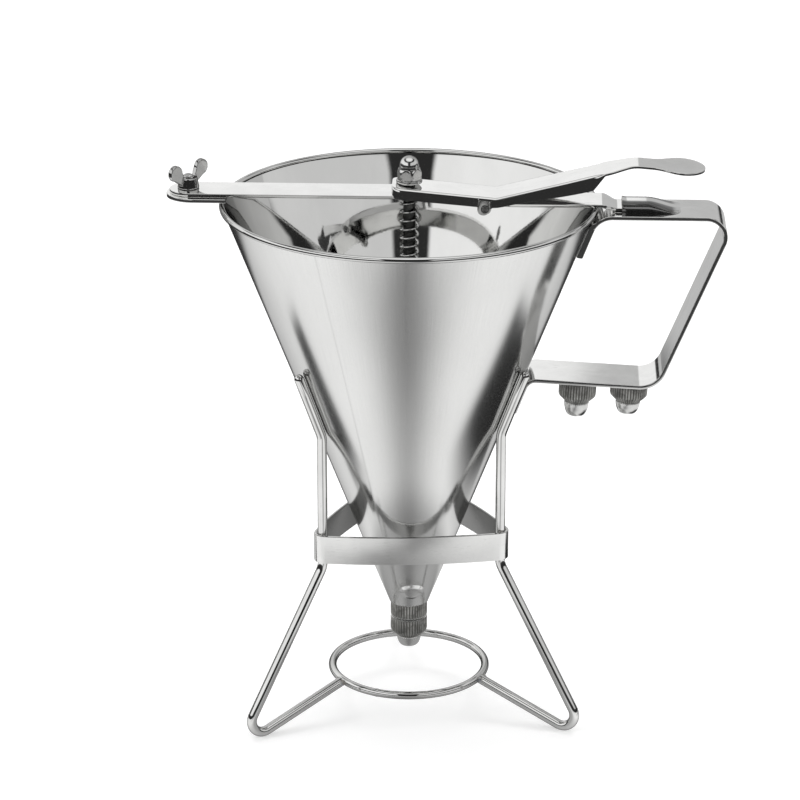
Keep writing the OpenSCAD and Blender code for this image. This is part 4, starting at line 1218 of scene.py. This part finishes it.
def card_material(name, tone_at):
    """Glowing card whose tone follows its place, from an expression on a place's parts."""
    net = Net(name)
    place = net.place()
    tone = tone_at(*(place.part(axis) for axis in "XYZ"))
    return net.shown(net.node("ShaderNodeEmission", None,
                              {"Color": net.tint(tone, (0, 0, 0), (1, 1, 1))}))


def seen_rays(net):
    """1 for the rays that show the background: from the camera, mirrored or let through."""
    rays = net.node("ShaderNodeLightPath", output="Is Camera Ray")
    for name in ("Is Glossy Ray", "Is Transmission Ray"):
        rays = rays + net.node("ShaderNodeLightPath", output=name)
    return rays.clamped()


def floor_material():
    """Pale floor that keeps a soft shadow and shows white to the camera and in reflections."""
    net = Net("floor")
    base = net.node("ShaderNodeBsdfPrincipled", None,
                    {"Base Color": (0.82, 0.82, 0.82, 1), "Roughness": 0.9,
                     "Specular IOR Level": 0.0})
    lift = net.node("ShaderNodeEmission", None, {"Color": WHITE, "Strength": 0.3})
    both = net.node("ShaderNodeAddShader", None, {0: base, 1: lift})
    return net.shown(net.node("ShaderNodeMixShader", None,
                              {0: seen_rays(net), 1: base, 2: both}))


def studio_world():
    """White world that gives less light than it shows."""
    net = Net(bpy.data.worlds.new("studio"))
    glow = seen_rays(net) * 0.3 + 0.7
    sky = net.node("ShaderNodeBackground", None, {"Color": WHITE, "Strength": glow})
    return net.shown(sky, "ShaderNodeOutputWorld")


def stage_sheet(name, corners, faces, material, for_camera=False):
    """Sheet of the stage, in metres, that may show only in reflections."""
    mesh = bpy.data.meshes.new(name)
    mesh.from_pydata(corners, [], faces)
    mesh.materials.append(material)
    made = linked(name, mesh)
    if not for_camera:
        made.visible_camera = made.visible_diffuse = made.visible_shadow = False


def dome(radius, sides=96):
    """Half a ball over the part."""
    rows = [[polar(radius * cos(e), a, radius * sin(e)) for a in circle(sides)]
            for e in arc(0, 90, 3)]
    points, faces = skin(rows, caps=False)
    return points, faces + [tuple(range(len(points) - sides, len(points)))]


def soft_light(name, place, target, wide, high, glow):
    """Soft box of a given brightness."""
    lamp = bpy.data.lights.new(name, "AREA")
    lamp.shape, lamp.size, lamp.size_y = "RECTANGLE", wide, high
    lamp.energy = glow * pi * wide * high
    made = linked(name, lamp)
    made.location = place
    made.rotation_euler = (Vector(target) - Vector(place)).to_track_quat("-Z", "Y").to_euler()
    made.visible_camera = made.visible_glossy = False


def floor_tone(x, y, z):
    """White table with a soft dark wedge in front, dark strips to its sides, and a dark room."""
    far = (y * -1.0).math("MAXIMUM", 0.001)
    width = far * (1.0 - far.between(0.19, 0.29) * 0.68)
    slant = (x - far.between(0.25, 0.29) * 0.057) / width
    wedge = (slant * slant / 0.6 + 1.0) ** -2.0 * (far.between(0.09, 0.20) * 0.27 + 0.45)
    aside = x.math("ABSOLUTE")
    past = y - aside * 0.57 + 0.095
    left = past.inside(-0.03, 0.03, 0.006) * x.math("LESS_THAN", 0.0)
    right = past.inside(-0.05, 0.16, 0.015) * x.math("GREATER_THAN", 0.0)
    strips = (left + right) * aside.between(0.10, 0.18) * (1.0 - aside.between(0.275, 0.30))
    reach = (x * x + y * y) ** 0.5
    steep = x / y.math("MAXIMUM", 0.001)
    behind = steep.inside(-0.55, 0.55, 0.08) * reach.between(0.12, 0.22)
    room = reach.between(0.46, 0.56)
    near = (1.0 - reach.between(0.085, 0.115)) * 0.55
    dark = (1.0 - wedge) * (1.0 - strips * 0.97) * (1.0 - behind * 0.9) * (1.0 - near)
    return dark * (1.0 - room) + room * (0.05 + y.between(0.75, 0.95) * 0.5)


def tent_tone(x, y, z):
    """Soft boxes at the sides, above and behind, in a dark room, by shares of its radius."""
    x, y, z = x / TENT_R, y / TENT_R, z / TENT_R
    tone = z.between(0.84, 0.92) * (1.0 - y.between(0.10, 0.30) * 0.4)
    ahead = y.math("LESS_THAN", 0.35)
    high = z.inside(0.27, 0.72, 0.03)
    left = (1.0 - x.between(-0.24, -0.18)) * ahead * high
    right = x.between(0.20, 0.26) * ahead * high * 0.7
    back = (1.0 - ahead) * z.inside(0.12, 0.62, 0.03) * (1.0 - x.between(0.075, 0.095) * 0.45)
    between = (1.0 - ahead) * z.between(0.60, 0.68) * 0.5
    for box in (left, right, back, between):
        tone = tone.math("MAXIMUM", box)
    return tone * 0.97 + 0.03


def build_stage():
    """Floor, dark cards that the metal mirrors, soft lights, world and camera."""
    scene, corners = bpy.context.scene, [(-6, -6, 0), (6, -6, 0), (6, 6, 0), (-6, 6, 0)]
    stage_sheet("floor_plane", corners, [(0, 1, 2, 3)], floor_material(), for_camera=True)
    rim = [polar(FLOOR_R, a, FLOOR_LIFT) for a in circle(96)]
    stage_sheet("reflecting_floor", rim, [tuple(range(len(rim)))],
                card_material("floor_card", floor_tone))
    stage_sheet("studio_tent", *dome(TENT_R), card_material("tent_card", tent_tone))
    soft_light("left_softbox", (-1.7, -0.9, 1.2), (0, 0, 0.15), 1.3, 1.6, 1.5)
    soft_light("right_softbox", (1.7, -0.8, 1.2), (0, 0, 0.15), 1.3, 1.6, 1.3)
    soft_light("top_softbox", (0, 0.5, 2.2), (0, 0, 0.1), 2.4, 1.8, 1.5)
    scene.world = studio_world()
    camera = bpy.data.cameras.new("camera")
    camera.lens, camera.sensor_width, camera.sensor_fit = 157.2, 36, "HORIZONTAL"
    camera.clip_end = 50
    eye = linked("camera", camera)
    eye.location = (0.0634, -1.6699, 0.7831)
    eye.rotation_euler = (radians(69.735), 0, radians(2.333))
    scene.camera = eye
    scene.view_settings.view_transform = "Standard"


# ---------------------------------------------------------------- operators, panel, run

def operator_class(name, label, text, *steps):
    """An operator that runs some building steps."""
    def execute(self, context):
        for step in steps:
            step()
        return {"FINISHED"}
    return type("DISPENSER_OT_" + name, (bpy.types.Operator,),
                {"__doc__": text, "bl_idname": "dispenser." + name, "bl_label": label,
                 "bl_options": {"REGISTER", "UNDO"}, "execute": execute})


OPERATORS = [operator_class(*row) for row in (
    ("finishes", "Make finishes", "Makes every steel finish", make_finishes),
    ("cone", "Build cone", "Builds the cone with its rim and boss", build_cone, build_boss),
    ("nozzles", "Build nozzles", "Builds the collar and the nozzles", build_nozzles),
    ("handle", "Build handle", "Builds the strip handle", build_handle),
    ("clip", "Build clip", "Builds the hood over the bar's tongue", build_clip),
    ("bar", "Build bar", "Builds the cross bar", build_bar),
    ("lug", "Build lug", "Builds the lug under the bar", build_lug),
    ("clamp", "Build clamp", "Builds the clamp stud and wing nut", build_clamp),
    ("lever", "Build lever", "Builds the folded lever and its pin", build_lever, build_pin),
    ("acorn", "Build acorn nut", "Builds the acorn nut and washer", build_acorn),
    ("spring", "Build spring", "Builds the return spring", build_spring),
    ("legs", "Build legs", "Builds the wire legs and their welds", build_legs),
    ("ring", "Build ring", "Builds the base ring", build_ring),
    ("band", "Build band", "Builds the band round the legs", build_band),
    ("kept", "Dress kept nodes", "Gives the other nodes their finish", dress_kept_nodes),
    ("stage", "Build stage", "Builds the floor, lights and camera", build_stage))]


class DISPENSER_PT_panel(bpy.types.Panel):
    """Lists the building steps and sizes"""
    bl_label = "Batter dispenser"
    bl_idname = "DISPENSER_PT_panel"
    bl_space_type = "VIEW_3D"
    bl_region_type = "UI"
    bl_category = "Dispenser"

    def draw(self, context):
        for made in OPERATORS:
            self.layout.operator(made.bl_idname)
        for key, group in GROUPS.items():
            box = self.layout.box()
            box.label(text=key.capitalize())
            for name in group.__annotations__:
                box.prop(getattr(context.scene.dispenser, key), name)


CLASSES = list(GROUPS.values()) + [DispenserSettings] + OPERATORS + [DISPENSER_PT_panel]


def register():
    for made in CLASSES:
        bpy.utils.register_class(made)
    bpy.types.Scene.dispenser = bpy.props.PointerProperty(
        type=DispenserSettings, name="Dispenser", description=DispenserSettings.__doc__)


def unregister():
    del bpy.types.Scene.dispenser
    for made in reversed(CLASSES):
        bpy.utils.unregister_class(made)


def main():
    register()
    for made in OPERATORS:
        getattr(bpy.ops.dispenser, made.bl_idname.split(".")[1])()


if __name__ == "__main__":
    main()
